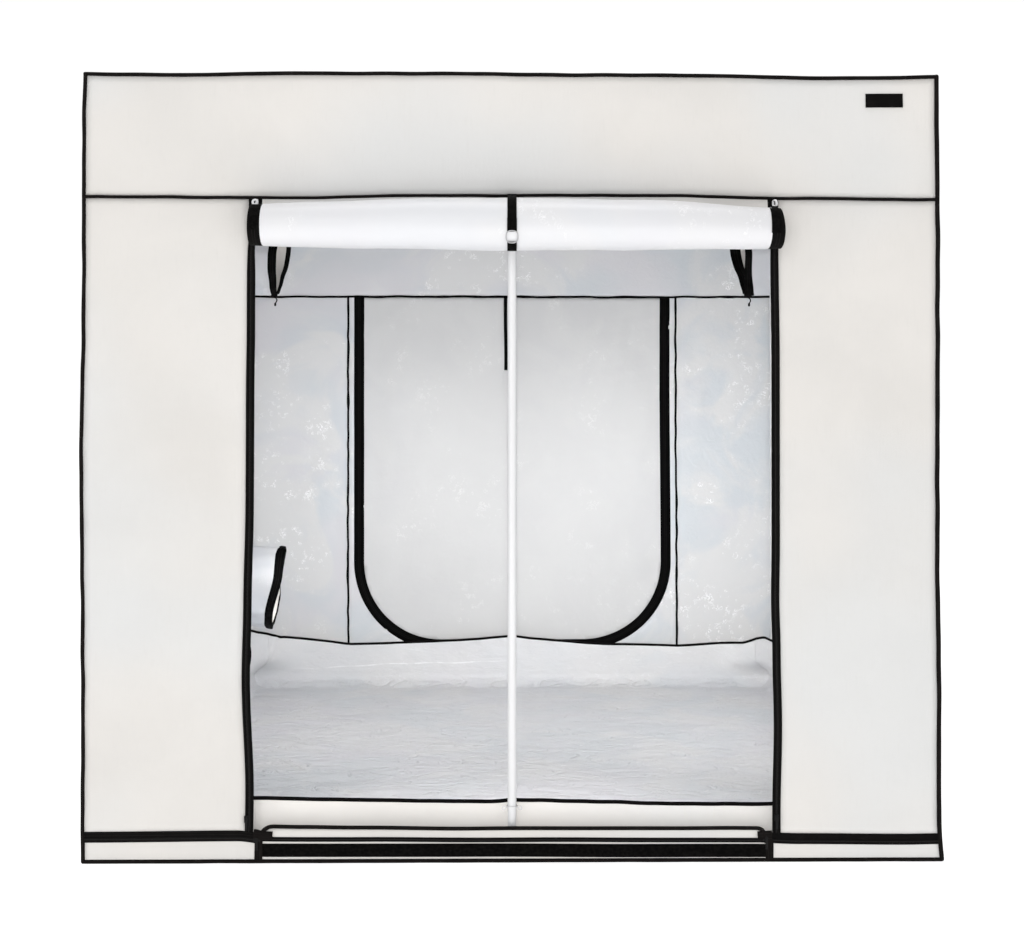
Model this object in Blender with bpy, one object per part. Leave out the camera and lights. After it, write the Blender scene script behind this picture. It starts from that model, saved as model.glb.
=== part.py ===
"""Indoor grow tent.

A frame of steel tubes stands inside a sewn canopy. The front door is rolled up and strapped
above its doorway, the rear door is zipped shut, duct sleeves pass through the side walls and
a loose tray lines the floor.

Metres, +Z up. X runs to the right, the front faces -Y, and the origin is on the ground at the
middle of the footprint.
"""
import math

import bmesh
import bpy
from mathutils import Matrix, Vector

# Whole tent, outside the binding on its edges
WIDTH = 2.400
DEPTH = 2.400
HEIGHT = 2.200

# Fits that every piece shares
GAP = 0.0003  # between pieces that touch
OVERRUN = 0.010  # how far a cutter runs past what it cuts

# Canopy cloth, and the tape bound over its edges
CLOTH = 0.002
CLOTH_INSET = 0.004  # from the binding's outer face in to the cloth's
BINDING = 0.013
BINDING_ROUND = 0.003
SEAM_INSET = 0.001  # how much flatter the binding on the front seam is, each side

# Steel frame
TUBE_R = 0.0125
TUBE_WALL = 0.001
FITTING_WALL = 0.003
HUB_PROUD = 0.0015  # how far a corner block stands out past its collars
HUB_ROUND = 0.005
COLLAR_LENGTH = 0.030  # from the middle of a joint to the end of its tube
SPIGOT_LENGTH = 0.045
TEE_LENGTH = 0.060
TUBE_SIDES = 16

# Hanging bars across the roof
BAR_R = 0.0095
BAR_WALL = 0.001
BAR_SPACING = 0.900
BAR_PLUG = 0.030  # solid stretch at each end of the bar
BAR_HOLE_R = 0.003
HOOK_WALL = 0.0022
HOOK_LENGTH = 0.040
HOOK_DROP = 0.004  # how far the hook reaches below the middle of its rail
HOOK_STEP_DEG = 18.0

# Front wall
SEAM_DROP = 0.3385  # from the top down to the middle of the binding above the doorway
JAMB_INSET = 0.473  # from the side of the tent in to the doorway
SEAM_Z = HEIGHT - SEAM_DROP
DOORWAY_HALF = WIDTH / 2 - JAMB_INSET
ZIP_TAPE = 0.022
ZIP_THICK = 0.003
ZIP_PROUD = 0.001  # how far a zip stands out of the cloth
LOWER_ZIP_LOW = 0.053
LOWER_ZIP_TALL = 0.028
SILL_INSET = 0.027  # how much further in than the doorway the sill ends
SILL_HALF = DOORWAY_HALF - SILL_INSET
SILL_TOP = 0.098
SILL_ROUND = 0.030

# Rolled door, worked out as a spiral of cloth
ROLL_MIDDLE_R = 0.0757
ROLL_END_R = 0.0585
ROLL_CORE_R = 0.012
ROLL_TURNS = 6.5
ROLL_CLOTH = 0.0016
ROLL_SHORT = 0.007  # how much shorter than the doorway is wide
ROLL_LENGTH = 2 * DOORWAY_HALF - ROLL_SHORT
ROLL_SHIFT = 0.010  # towards +X, as the door was rolled a little askew
ROLL_STANDOFF = 0.014  # from the wall's front to the back of the roll
ROLL_DROP = 0.0831  # from the seam down to the middle of the roll
ROLL_CONE = 0.007  # how far the inner turns work out past the ends
ROLL_TURN_POINTS = 18
ROLL_STATION_SHARES = (0.0, 0.2, 0.5, 0.8, 1.0)
ROLL_TAPE = 0.033  # zip tape sewn to each side edge of the door

# Webbing straps
WEB = 0.0018
STRAP_WIDE = 0.025
STRAP_SEWN = 0.004  # stretch that lies on the seam
STRAP_END_DEG = 200.0
RING_WIRE_R = 0.0017
RING_WIDE = 0.045
RING_TALL = 0.036
RING_ROUND = 0.009
EYE_WALL = 0.0022
TAIL_START_DEG = 229.0
TAIL_END_DEG = 345.0
STRAP_STEP_DEG = 6.0
REAR_STRAP_WIDE = 0.015
REAR_STRAP_LONG = 0.330
REAR_STRAP_X = -0.030

# Zip sliders and their pulls
SLIDER_WIDE = 0.012
SLIDER_LONG = 0.018
SLIDER_THICK = 0.004
BRIDGE_WIDE = 0.004
BRIDGE_LONG = 0.010
BRIDGE_PROUD = 0.002
PULL_WIDE = 0.007
PULL_LONG = 0.030
PULL_THICK = 0.0012

# Rear door
REAR_SEAM_DROP = 0.460  # from the top down to the seam above the rear door
REAR_ZIP_INSET = 0.4925  # from the side of the tent in to the zip
REAR_SEAM_Z = HEIGHT - REAR_SEAM_DROP
REAR_ZIP_HALF = WIDTH / 2 - REAR_ZIP_INSET
REAR_ZIP_LOW = 0.160
REAR_ZIP_ROUND = 0.388
REAR_ZIP_TAPE = 0.038
REAR_ARC_STEPS = 10

# Duct sleeves in the side walls
SLEEVE_R = 0.150
SLEEVE_MOUTH_R = 0.134
SLEEVE_LONG = 0.385
SLEEVE_Y = -0.250
SLEEVE_FLANGE = 0.030
SLEEVE_HEM_LONG = 0.030
SLEEVE_HEM_PROUD = 0.004
SLEEVE_SIDES = 24
LOWER_SLEEVE_Z = 0.655
UPPER_SLEEVE_DROP = 0.410  # from the top down to the middle of an upper sleeve
UPPER_SLEEVE_Z = HEIGHT - UPPER_SLEEVE_DROP
LOWER_SLEEVE_SAG = 0.024
UPPER_SLEEVE_SAG = 0.008
LOWER_SLEEVE_LEAN = 0.045  # how much further in the top of the mouth stands than its foot
UPPER_SLEEVE_LEAN = 0.004

# Floor tray, a cloth pan hooked up at its corners and at the middle of each side
TRAY_EASE = 0.004
TRAY_FRONT_TALL = 0.158
TRAY_REAR_TALL = 0.230
TRAY_FRONT_SAG = 0.004
TRAY_REAR_SAG = 0.040
TRAY_SIDE_STEPS = 12

# Places worked out from the sizes above
collar_r = TUBE_R + GAP + FITTING_WALL
hub_r = collar_r + HUB_PROUD
bore_r = TUBE_R - TUBE_WALL
spigot_r = bore_r - GAP

edge_x = WIDTH / 2 - BINDING - GAP
edge_y = DEPTH / 2 - BINDING - GAP
edge_low = BINDING + GAP
edge_high = HEIGHT - BINDING - GAP
face_x = WIDTH / 2 - CLOTH_INSET
face_y = DEPTH / 2 - CLOTH_INSET
roof_face = HEIGHT - CLOTH_INSET

frame_x = edge_x - hub_r
frame_y = edge_y - hub_r
frame_low = CLOTH + GAP + hub_r
frame_high = roof_face - CLOTH - GAP - hub_r

seam_low = SEAM_Z - BINDING / 2
seam_high = SEAM_Z + BINDING / 2
jamb_outer = DOORWAY_HALF + ZIP_TAPE
lower_zip_high = LOWER_ZIP_LOW + LOWER_ZIP_TALL
zip_front = face_y + ZIP_PROUD

roll_y = -(DEPTH / 2 + ROLL_STANDOFF + ROLL_MIDDLE_R)
roll_z = SEAM_Z - ROLL_DROP


def finish(name, colour, roughness, metallic=0.0):
    """A plain Principled material."""
    made = bpy.data.materials.new(name)
    made.use_nodes = True
    shader = made.node_tree.nodes["Principled BSDF"]
    shader.inputs["Base Color"].default_value = (*colour, 1.0)
    shader.inputs["Roughness"].default_value = roughness
    shader.inputs["Metallic"].default_value = metallic
    made.diffuse_color = (*colour, 1.0)
    return made


def empty_scene():
    for old in list(bpy.data.objects):
        bpy.data.objects.remove(old, do_unlink=True)


def clean_mesh(name, points, faces):
    """A mesh with its faces turned outwards and its round sides shaded smooth."""
    mesh = bpy.data.meshes.new(name)
    mesh.from_pydata([tuple(p) for p in points], [], faces)
    work = bmesh.new()
    work.from_mesh(mesh)
    bmesh.ops.recalc_face_normals(work, faces=work.faces)
    work.to_mesh(mesh)
    work.free()
    mesh.shade_smooth()
    mesh.set_sharp_from_angle(angle=math.radians(35.0))
    return mesh


def put(name, mesh, material=None, location=(0, 0, 0), rotation=(0, 0, 0)):
    """An object that shows mesh, in its place."""
    made = bpy.data.objects.new(name, mesh)
    if material:
        mesh.materials.clear()
        mesh.materials.append(material)
    made.location = location
    made.rotation_euler = rotation
    bpy.context.collection.objects.link(made)
    return made


def put_at(name, points, faces, material, origin):
    """An object whose points are given in the world, with its origin at a chosen place."""
    start = Vector(origin)
    local = [Vector(p) - start for p in points]
    return put(name, clean_mesh(name, local, faces), material, origin)


def box_points(low, high):
    return [(x, y, z) for x in (low[0], high[0]) for y in (low[1], high[1]) for z in (low[2], high[2])]


BOX_FACES = [(0, 1, 3, 2), (4, 6, 7, 5), (0, 4, 5, 1), (2, 3, 7, 6), (0, 2, 6, 4), (1, 5, 7, 3)]


def box(name, low, high, material=None):
    middle = [(a + b) / 2 for a, b in zip(low, high)]
    return put_at(name, box_points(low, high), BOX_FACES, material, middle)


def prism_points(outline, low, high, axis):
    """Points of an outline carried along axis from low to high. The outline's two numbers are
    the other two coordinates, in X, Y, Z order."""
    spread = {"X": lambda u, v, w: (w, u, v), "Y": lambda u, v, w: (u, w, v), "Z": lambda u, v, w: (u, v, w)}
    place = spread[axis]
    return [place(u, v, low) for u, v in outline] + [place(u, v, high) for u, v in outline]


def prism_faces(count):
    sides = [(i, (i + 1) % count, count + (i + 1) % count, count + i) for i in range(count)]
    return sides + [tuple(range(count)), tuple(range(count, 2 * count))]


def prism(name, outline, low, high, axis, material=None, origin=(0, 0, 0)):
    points = prism_points(outline, low, high, axis)
    return put_at(name, points, prism_faces(len(outline)), material, origin)


def circle(radius, sides):
    turn = 2 * math.pi / sides
    return [(radius * math.cos(i * turn), radius * math.sin(i * turn)) for i in range(sides)]


def rod(name, radius, low, high, axis, centre=(0, 0), sides=TUBE_SIDES):
    """A solid round bar along axis. centre is its place on the other two axes."""
    outline = [(centre[0] + u, centre[1] + v) for u, v in circle(radius, sides)]
    return prism(name, outline, low, high, axis)


def ring_faces(rings, sides):
    """Faces that join each ring of points to the next, and the last ring to the first."""
    faces = []
    for r in range(rings):
        following = (r + 1) % rings
        for i in range(sides):
            j = (i + 1) % sides
            faces.append((r * sides + i, r * sides + j, following * sides + j, following * sides + i))
    return faces


def tube_mesh(name, length, outer, inner, sides=TUBE_SIDES):
    """An open tube along Z, with its middle at the origin."""
    rings = ((outer, -length / 2), (outer, length / 2), (inner, length / 2), (inner, -length / 2))
    points = [(x, y, z) for radius, z in rings for x, y in circle(radius, sides)]
    return clean_mesh(name, points, ring_faces(len(rings), sides))


def fused(name, base, joins=(), cuts=()):
    """The mesh of base with every join fused to it and every cut taken out of it, in the world's
    coordinates. The objects that went into it are removed."""
    for tool, operation in [(j, "UNION") for j in joins] + [(c, "DIFFERENCE") for c in cuts]:
        step = base.modifiers.new(tool.name, "BOOLEAN")
        step.object = tool
        step.operation = operation
        step.solver = "EXACT"
    shape = base.evaluated_get(bpy.context.evaluated_depsgraph_get())
    mesh = bpy.data.meshes.new_from_object(shape)
    mesh.transform(base.matrix_world)
    mesh.name = name
    for spent in (base, *joins, *cuts):
        bpy.data.objects.remove(spent, do_unlink=True)
    mesh.materials.clear()
    mesh.shade_smooth()
    mesh.set_sharp_from_angle(angle=math.radians(35.0))
    return mesh


def put_fused(name, mesh, material, origin):
    """A fused mesh as an object, with its origin at a chosen place."""
    mesh.transform(Matrix.Translation(origin).inverted())
    return put(name, mesh, material, origin)


def arc(centre, radius, start, end, step):
    """Points from start to end degrees about centre, about step degrees apart."""
    count = max(2, round(abs(end - start) / step))
    turns = [math.radians(start + (end - start) * i / count) for i in range(count + 1)]
    return [(centre[0] + radius * math.cos(t), centre[1] + radius * math.sin(t)) for t in turns]


def ribbon(path, thick):
    """The outline of a strip of cloth that follows path, half its thickness to either side."""
    sides = ([], [])
    for i, (u, v) in enumerate(path):
        before, after = path[max(i - 1, 0)], path[min(i + 1, len(path) - 1)]
        along = Vector((after[0] - before[0], after[1] - before[1])).normalized()
        across = Vector((-along.y, along.x)) * thick / 2
        sides[0].append((u + across.x, v + across.y))
        sides[1].append((u - across.x, v - across.y))
    return sides[0] + sides[1][::-1]


# Frame

def tube_between(name, length, material, location, rotation):
    mesh = tube_mesh(name, length, TUBE_R, bore_r)
    return put(name, mesh, material, location, rotation)


def posts_and_rails(material):
    upright = frame_high - frame_low - 2 * (COLLAR_LENGTH + GAP)
    across = 2 * (frame_x - COLLAR_LENGTH - GAP)
    along = 2 * (frame_y - COLLAR_LENGTH - GAP)
    middle = (frame_low + frame_high) / 2
    to_x, to_y = (0, math.pi / 2, 0), (math.pi / 2, 0, 0)
    for end, y in (("front", -frame_y), ("rear", frame_y)):
        for side, x in (("left", -frame_x), ("right", frame_x)):
            tube_between(f"corner_post_{end}_{side}", upright, material, (x, y, middle), (0, 0, 0))
        tube_between(f"centre_post_{end}", upright, material, (0, y, middle), (0, 0, 0))
    for level, z in (("bottom", frame_low), ("top", frame_high)):
        for end, y in (("front", -frame_y), ("rear", frame_y)):
            tube_between(f"{level}_rail_{end}", across, material, (0, y, z), to_x)
        for side, x in (("left", -frame_x), ("right", frame_x)):
            tube_between(f"{level}_rail_{side}", along, material, (x, 0, z), to_y)


def corner_joint_mesh():
    """A block with a collar and a spigot along each of +X, +Y and +Z."""
    block = box("block", (-hub_r,) * 3, (hub_r,) * 3)
    soften = block.modifiers.new("round", "BEVEL")
    soften.width = min(HUB_ROUND, hub_r / 2)
    soften.segments = 1
    arms = []
    for axis in "XYZ":
        arms.append(rod(f"collar_{axis}", collar_r, 0, COLLAR_LENGTH, axis))
        arms.append(rod(f"spigot_{axis}", spigot_r, 0, COLLAR_LENGTH + SPIGOT_LENGTH, axis))
    return fused("corner_joint", block, arms)


def corner_joints(material):
    """The same joint in all eight corners, turned so that its arms point inwards."""
    mesh = corner_joint_mesh()
    bottom = ("front_left", "front_right", "rear_right", "rear_left")
    top = ("rear_left", "front_left", "front_right", "rear_right")
    for level, z, tip, order in (("bottom", frame_low, 0, bottom), ("top", frame_high, math.pi, top)):
        for quarter, corner in enumerate(order):
            x = frame_x if "right" in corner else -frame_x
            y = frame_y if "rear" in corner else -frame_y
            put(f"corner_joint_{level}_{corner}", mesh, material, (x, y, z), (tip, 0, quarter * math.pi / 2))


def tee_joint_mesh():
    """A sleeve along X for the rail, with a spigot along +Z for the post."""
    sleeve = rod("sleeve", collar_r, -TEE_LENGTH / 2, TEE_LENGTH / 2, "X")
    collar = rod("collar", collar_r, 0, COLLAR_LENGTH, "Z")
    spigot = rod("spigot", spigot_r, 0, COLLAR_LENGTH + SPIGOT_LENGTH, "Z")
    half = TEE_LENGTH / 2 + OVERRUN
    bore = rod("bore", TUBE_R + GAP, -half, half, "X")
    return fused("tee_joint", sleeve, (collar, spigot), (bore,))


def tee_joints(material):
    mesh = tee_joint_mesh()
    for end, y in (("front", -frame_y), ("rear", frame_y)):
        put(f"tee_joint_bottom_{end}", mesh, material, (0, y, frame_low))
        put(f"tee_joint_top_{end}", mesh, material, (0, y, frame_high), (math.pi, 0, 0))


def hanging_bar_mesh():
    """A bar with a hook at each end that lies over a side rail. Its bore is open at a button
    hole near one end."""
    hook_in, hook_out = TUBE_R + GAP, TUBE_R + GAP + HOOK_WALL
    dip = math.degrees(math.asin(min(HOOK_DROP / hook_out, 1.0)))
    reach = frame_x - hook_in - GAP
    bar = rod("bar", BAR_R, -reach, reach, "X")
    hooks = []
    for side in (-1, 1):
        rail = (side * frame_x, 0)
        sweep = (-dip, 180 + dip, HOOK_STEP_DEG)
        outline = arc(rail, hook_out, *sweep) + arc(rail, hook_in, *sweep)[::-1]
        hooks.append(prism(f"hook_{side}", outline, -HOOK_LENGTH / 2, HOOK_LENGTH / 2, "Y"))
    hollow = rod("hollow", BAR_R - BAR_WALL, BAR_PLUG - reach, reach - BAR_PLUG, "X")
    hole_x = reach - 2 * BAR_PLUG
    hole = rod("hole", BAR_HOLE_R, -BAR_R - OVERRUN, 0, "Z", (hole_x, 0), sides=8)
    return fused("hanging_bar", bar, hooks, (hollow, hole))


def hanging_bars(material):
    mesh = hanging_bar_mesh()
    put("hanging_bar_front", mesh, material, (0, -BAR_SPACING / 2, frame_high))
    put("hanging_bar_rear", mesh, material, (0, BAR_SPACING / 2, frame_high))


# Canopy

def edge_piping(material):
    """The binding on all twelve edges and across the front above the doorway."""
    x, y = WIDTH / 2, DEPTH / 2
    body = box("binding", (-x, -y, 0), (x, y, HEIGHT))
    past = BINDING + OVERRUN
    windows = [
        box("window_x", (-x - past, BINDING - y, BINDING), (x + past, y - BINDING, HEIGHT - BINDING)),
        box("window_y", (BINDING - x, -y - past, BINDING), (x - BINDING, y + past, HEIGHT - BINDING)),
        box("window_z", (BINDING - x, BINDING - y, -past), (x - BINDING, y - BINDING, HEIGHT + past)),
    ]
    piping = put("edge_piping", fused("edge_piping", body, (), windows), material)
    near, far = SEAM_INSET - y, BINDING - SEAM_INSET - y
    seam = box("seam", (BINDING / 2 - x, near, seam_low), (x - BINDING / 2, far, seam_high))
    seam.hide_render = True
    seam.display_type = "WIRE"
    join = piping.modifiers.new("seam", "BOOLEAN")
    join.object = seam
    join.operation = "UNION"
    join.solver = "EXACT"
    soften = piping.modifiers.new("round", "BEVEL")
    soften.width = BINDING_ROUND
    soften.segments = 1
    soften.limit_method = "ANGLE"


def sleeve_hole(name, side, z):
    """The cutter for a duct sleeve's hole in a side wall."""
    low, high = sorted((side * (face_x - CLOTH - OVERRUN), side * (face_x + OVERRUN)))
    return rod(name, SLEEVE_R + GAP, low, high, "X", (SLEEVE_Y, z), SLEEVE_SIDES)


def walls(material):
    box("floor_panel", (-edge_x, -edge_y, 0), (edge_x, edge_y, CLOTH), material)
    box("roof_panel", (-edge_x, -edge_y, roof_face - CLOTH), (edge_x, edge_y, roof_face), material)
    sides = (("left_wall", -1, (LOWER_SLEEVE_Z, UPPER_SLEEVE_Z)), ("right_wall", 1, (UPPER_SLEEVE_Z,)))
    for name, side, heights in sides:
        inner, outer = sorted((side * (face_x - CLOTH), side * face_x))
        wall = box(name, (inner, -edge_y, edge_low), (outer, edge_y, edge_high), material)
        for z in heights:
            hole = sleeve_hole(f"{name}_hole_{z:.2f}", side, z)
            hole.hide_render = True
            hole.display_type = "WIRE"
            cut = wall.modifiers.new("sleeve hole", "BOOLEAN")
            cut.object = hole
            cut.operation = "DIFFERENCE"
            cut.solver = "EXACT"


def u_outline(half, low, radius, top):
    """A letter U, from its top left down and round to its top right."""
    quarter = 90.0 / REAR_ARC_STEPS
    left = arc((radius - half, low + radius), radius, 180, 270, quarter)
    right = arc((half - radius, low + radius), radius, 270, 360, quarter)
    return [(-half, top)] + left + right + [(half, top)]


def rear_wall_and_door(cloth, tape):
    back, front = face_y, face_y - CLOTH
    cutter = prism(
        "rear_doorway",
        u_outline(REAR_ZIP_HALF + GAP, REAR_ZIP_LOW - GAP, REAR_ZIP_ROUND + GAP, REAR_SEAM_Z),
        front - OVERRUN, back + OVERRUN, "Y")
    wall = box("rear_panel", (-edge_x, front, edge_low), (edge_x, back, edge_high))
    put("rear_wall", fused("rear_wall", wall, (), (cutter,)), cloth)

    outer = u_outline(REAR_ZIP_HALF, REAR_ZIP_LOW, REAR_ZIP_ROUND, REAR_SEAM_Z - GAP)
    inner_half, inner_low = REAR_ZIP_HALF - REAR_ZIP_TAPE, REAR_ZIP_LOW + REAR_ZIP_TAPE
    inner_round = REAR_ZIP_ROUND - REAR_ZIP_TAPE
    inner = u_outline(inner_half, inner_low, inner_round, REAR_SEAM_Z - GAP)
    prism("rear_door_zip", outer + inner[::-1], front - ZIP_PROUD, back, "Y", tape)

    hang = REAR_SEAM_Z - GAP - CLOTH / 2
    flap = u_outline(inner_half - GAP, inner_low + GAP, inner_round - GAP, hang)
    prism("rear_door_flap", flap, front, back, "Y", cloth, (0, (front + back) / 2, hang))

    strap_back = front - GAP
    low = REAR_SEAM_Z - REAR_STRAP_LONG
    half = REAR_STRAP_WIDE / 2
    corners = box_points((REAR_STRAP_X - half, strap_back - WEB, low), (REAR_STRAP_X + half, strap_back, hang))
    put_at("rear_strap", corners, BOX_FACES, tape, (REAR_STRAP_X, strap_back - WEB / 2, hang))


def front_wall(cloth, tape):
    back, front = CLOTH - face_y, -face_y
    box("front_header", (-edge_x, front, seam_high + GAP), (edge_x, back, edge_high), cloth)
    zip_back = ZIP_THICK - zip_front
    for side, name in ((-1, "left"), (1, "right")):
        near, far = sorted((side * (jamb_outer + GAP), side * edge_x))
        box(f"front_panel_{name}", (near, front, lower_zip_high + GAP), (far, back, seam_low - GAP), cloth)
        near, far = sorted((side * DOORWAY_HALF, side * jamb_outer))
        box(f"jamb_zip_{name}", (near, -zip_front, lower_zip_high + GAP), (far, zip_back, seam_low - GAP), tape)
        near, far = sorted((side * (SILL_HALF + GAP), side * edge_x))
        box(f"lower_zip_{name}", (near, -zip_front, LOWER_ZIP_LOW), (far, zip_back, lower_zip_high), tape)

    band_top = LOWER_ZIP_LOW - GAP
    inset = SILL_HALF - SILL_ROUND
    sill = arc((inset, SILL_TOP - SILL_ROUND), SILL_ROUND, 0, 90, 15) \
        + arc((-inset, SILL_TOP - SILL_ROUND), SILL_ROUND, 90, 180, 15)
    outline = [(-edge_x, edge_low), (edge_x, edge_low), (edge_x, band_top), (SILL_HALF, band_top)] \
        + sill + [(-SILL_HALF, band_top), (-edge_x, band_top)]
    prism("front_base_band", outline, front, back, "Y", cloth)


# Front door

def roll_radius(share):
    """Outer radius of the rolled door, share of the way along it: fullest at the middle."""
    return ROLL_END_R + (ROLL_MIDDLE_R - ROLL_END_R) * (1 - (2 * share - 1) ** 2)


def roll_middle_y(share):
    return -(DEPTH / 2 + ROLL_STANDOFF + roll_radius(share))


def spiral(share, inset):
    """One end-on section of the roll, (y, z) points from the outer turn's end at the back,
    down under the roll and on inwards. inset moves it in from the cloth's outer face."""
    outer = roll_radius(share)
    count = round(ROLL_TURNS * ROLL_TURN_POINTS)
    points = []
    for i in range(count + 1):
        travelled = i / count
        turn = 2 * math.pi * ROLL_TURNS * travelled
        radius = outer + (ROLL_CORE_R - outer) * travelled - inset
        points.append((roll_middle_y(share) + radius * math.cos(turn), roll_z - radius * math.sin(turn)))
    return points


def least_roll_gap():
    """The smallest space between neighbouring turns, measured from point to point."""
    least = ROLL_MIDDLE_R
    for share in ROLL_STATION_SHARES:
        outside, inside = spiral(share, 0), spiral(share, ROLL_CLOTH)
        for i in range(len(outside) - ROLL_TURN_POINTS):
            a, b = inside[i], outside[i + ROLL_TURN_POINTS]
            least = min(least, math.hypot(a[0] - b[0], a[1] - b[1]))
    return least


def door_roll(material):
    """The spiral carried along X. Its inner turns work out a little past both ends."""
    start = ROLL_SHIFT - ROLL_LENGTH / 2
    points, count = [], 0
    for share in ROLL_STATION_SHARES:
        section = spiral(share, 0) + spiral(share, ROLL_CLOTH)[::-1]
        count = len(section)
        for i, (y, z) in enumerate(section):
            travelled = min(i, count - 1 - i) / (count / 2 - 1)
            cone = ROLL_CONE * travelled * (2 * share - 1)
            points.append((start + ROLL_LENGTH * share + cone, y, z))
    last = len(ROLL_STATION_SHARES) - 1
    faces = []
    for s in range(last):
        for i in range(count):
            j = (i + 1) % count
            faces.append((s * count + i, s * count + j, (s + 1) * count + j, (s + 1) * count + i))
    for first in (0, last * count):
        for i in range(count // 2 - 1):
            j = count - 1 - i
            faces.append((first + i, first + i + 1, first + j - 1, first + j))
    put_at("door_roll", points, faces, material, (ROLL_SHIFT, roll_y, roll_z))
    print(f"least gap between turns of the rolled door: {least_roll_gap() * 1000:.2f} mm")


def door_curtain(material):
    """The stretch of door between the seam and the roll, which leaves the roll at its back."""
    half = min(DOORWAY_HALF - GAP, ROLL_LENGTH / 2 - ROLL_SHIFT)
    top = (CLOTH - face_y, seam_low - GAP)
    foot = (CLOTH / 2 + GAP - DEPTH / 2 - ROLL_STANDOFF, roll_z)
    outline = [(top[0] - CLOTH, top[1]), top, (foot[0] + CLOTH / 2, foot[1]), (foot[0] - CLOTH / 2, foot[1])]
    prism("door_curtain", outline, -half, half, "X", material, (0, top[0], top[1]))


# Straps

def wound_r(radius, degrees):
    """Radius of the roll's outermost turn at an angle from +Y towards +Z."""
    return radius - (radius - ROLL_CORE_R) / ROLL_TURNS * (360 - degrees) / 360


def strap_arc(middle_y, radius, start, end):
    """Points of a strap that lies on the roll, from start to end degrees."""
    count = max(2, round(abs(end - start) / STRAP_STEP_DEG))
    points = []
    for i in range(count + 1):
        degrees = start + (end - start) * i / count
        lies_at = wound_r(radius, degrees) + GAP + WEB / 2
        turn = math.radians(degrees)
        points.append((middle_y + lies_at * math.cos(turn), roll_z + lies_at * math.sin(turn)))
    return points


def strap_path(middle_y, radius):
    """(y, z) points from the seam over the top of the roll and down its front."""
    sewn_y = SEAM_INSET - DEPTH / 2 - GAP - WEB / 2
    across, up = sewn_y - middle_y, SEAM_Z - roll_z
    over = wound_r(radius, 90) + GAP + WEB / 2
    meets = math.degrees(math.atan2(up, across) + math.acos(over / math.hypot(across, up)))
    lies = strap_arc(middle_y, radius, meets, STRAP_END_DEG)
    return [(sewn_y, SEAM_Z + STRAP_SEWN), (sewn_y, SEAM_Z)] + lies


def strap(name, x, share, material, eye=False):
    """A strap sewn to the seam. An eye at its end holds a ring."""
    radius, middle_y = roll_radius(share), roll_middle_y(share)
    path = strap_path(middle_y, radius)
    origin = (x, path[0][0], path[0][1])
    half = STRAP_WIDE / 2
    web = prism(name, ribbon(path, WEB), x - half, x + half, "X", material, origin)
    if not eye:
        return
    eye_out = RING_WIRE_R + GAP + EYE_WALL
    centre = eye_centre(radius, middle_y)
    barrel = rod("eye", eye_out, x - half, x + half, "X", centre, sides=12)
    bore = rod("eye_bore", RING_WIRE_R + GAP, x - half - OVERRUN, x + half + OVERRUN, "X", centre, sides=12)
    put_fused(name, fused(name, web, (barrel,), (bore,)), material, origin)


def eye_radius(radius):
    return wound_r(radius, STRAP_END_DEG) + GAP + RING_WIRE_R + GAP + EYE_WALL


def eye_centre(radius, middle_y):
    """Where the ring's upper bar lies, at the end of the webbing."""
    turn = math.radians(STRAP_END_DEG)
    lies_at = eye_radius(radius)
    return middle_y + lies_at * math.cos(turn), roll_z + lies_at * math.sin(turn)


def strap_ring(x, share, material):
    """A wire ring, oblong with round corners, that lies against the front of the roll."""
    radius, middle_y = roll_radius(share), roll_middle_y(share)
    top = Vector(eye_centre(radius, middle_y))
    tall, wide = RING_TALL / 2 - RING_WIRE_R, RING_WIDE / 2 - RING_WIRE_R
    bend = math.asin(min(tall / eye_radius(radius), 1.0))
    slope = math.radians(STRAP_END_DEG) + bend
    down = Vector((-math.sin(slope), math.cos(slope)))
    centre = top + down * tall
    corner_x, corner_d = wide - RING_ROUND, tall - RING_ROUND
    loop = []
    for u, v, start in ((1, 1, 0), (-1, 1, 90), (-1, -1, 180), (1, -1, 270)):
        loop += arc((u * corner_x, v * corner_d), RING_ROUND, start, start + 90, 30)
    curve = bpy.data.curves.new("strap_ring_centre", "CURVE")
    curve.dimensions = "3D"
    curve.bevel_depth = RING_WIRE_R
    curve.bevel_resolution = 2
    spline = curve.splines.new("POLY")
    spline.points.add(len(loop) - 1)
    for point, (u, v) in zip(spline.points, loop):
        point.co = (u, down.x * -v, down.y * -v, 1)
    spline.use_cyclic_u = True
    curve.materials.append(material)
    ring = bpy.data.objects.new("strap_ring_centre", curve)
    ring.location = (x, centre.x, centre.y)
    bpy.context.collection.objects.link(ring)


def strap_tail(x, share, material):
    """The lower strap, which comes round under the roll to the ring."""
    radius, middle_y = roll_radius(share), roll_middle_y(share)
    path = strap_arc(middle_y, radius, TAIL_START_DEG, TAIL_END_DEG)
    half = STRAP_WIDE / 2
    prism("strap_tail_centre", ribbon(path, WEB), x - half, x + half, "X", material, (x, middle_y, roll_z))


def straps(web, metal):
    start = ROLL_SHIFT - ROLL_LENGTH / 2
    ends = ROLL_TAPE / 2 / ROLL_LENGTH
    inner_edge = (ROLL_TAPE / 2 + STRAP_WIDE / 2) / ROLL_LENGTH
    strap("strap_left", start + ends * ROLL_LENGTH, inner_edge, web)
    strap("strap_right", start + (1 - ends) * ROLL_LENGTH, 1 - inner_edge, web)
    middle = 0.5
    strap("strap_centre", 0, middle, web, eye=True)
    strap_ring(0, middle, metal)
    strap_tail(0, middle, web)


# Zip sliders

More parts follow.
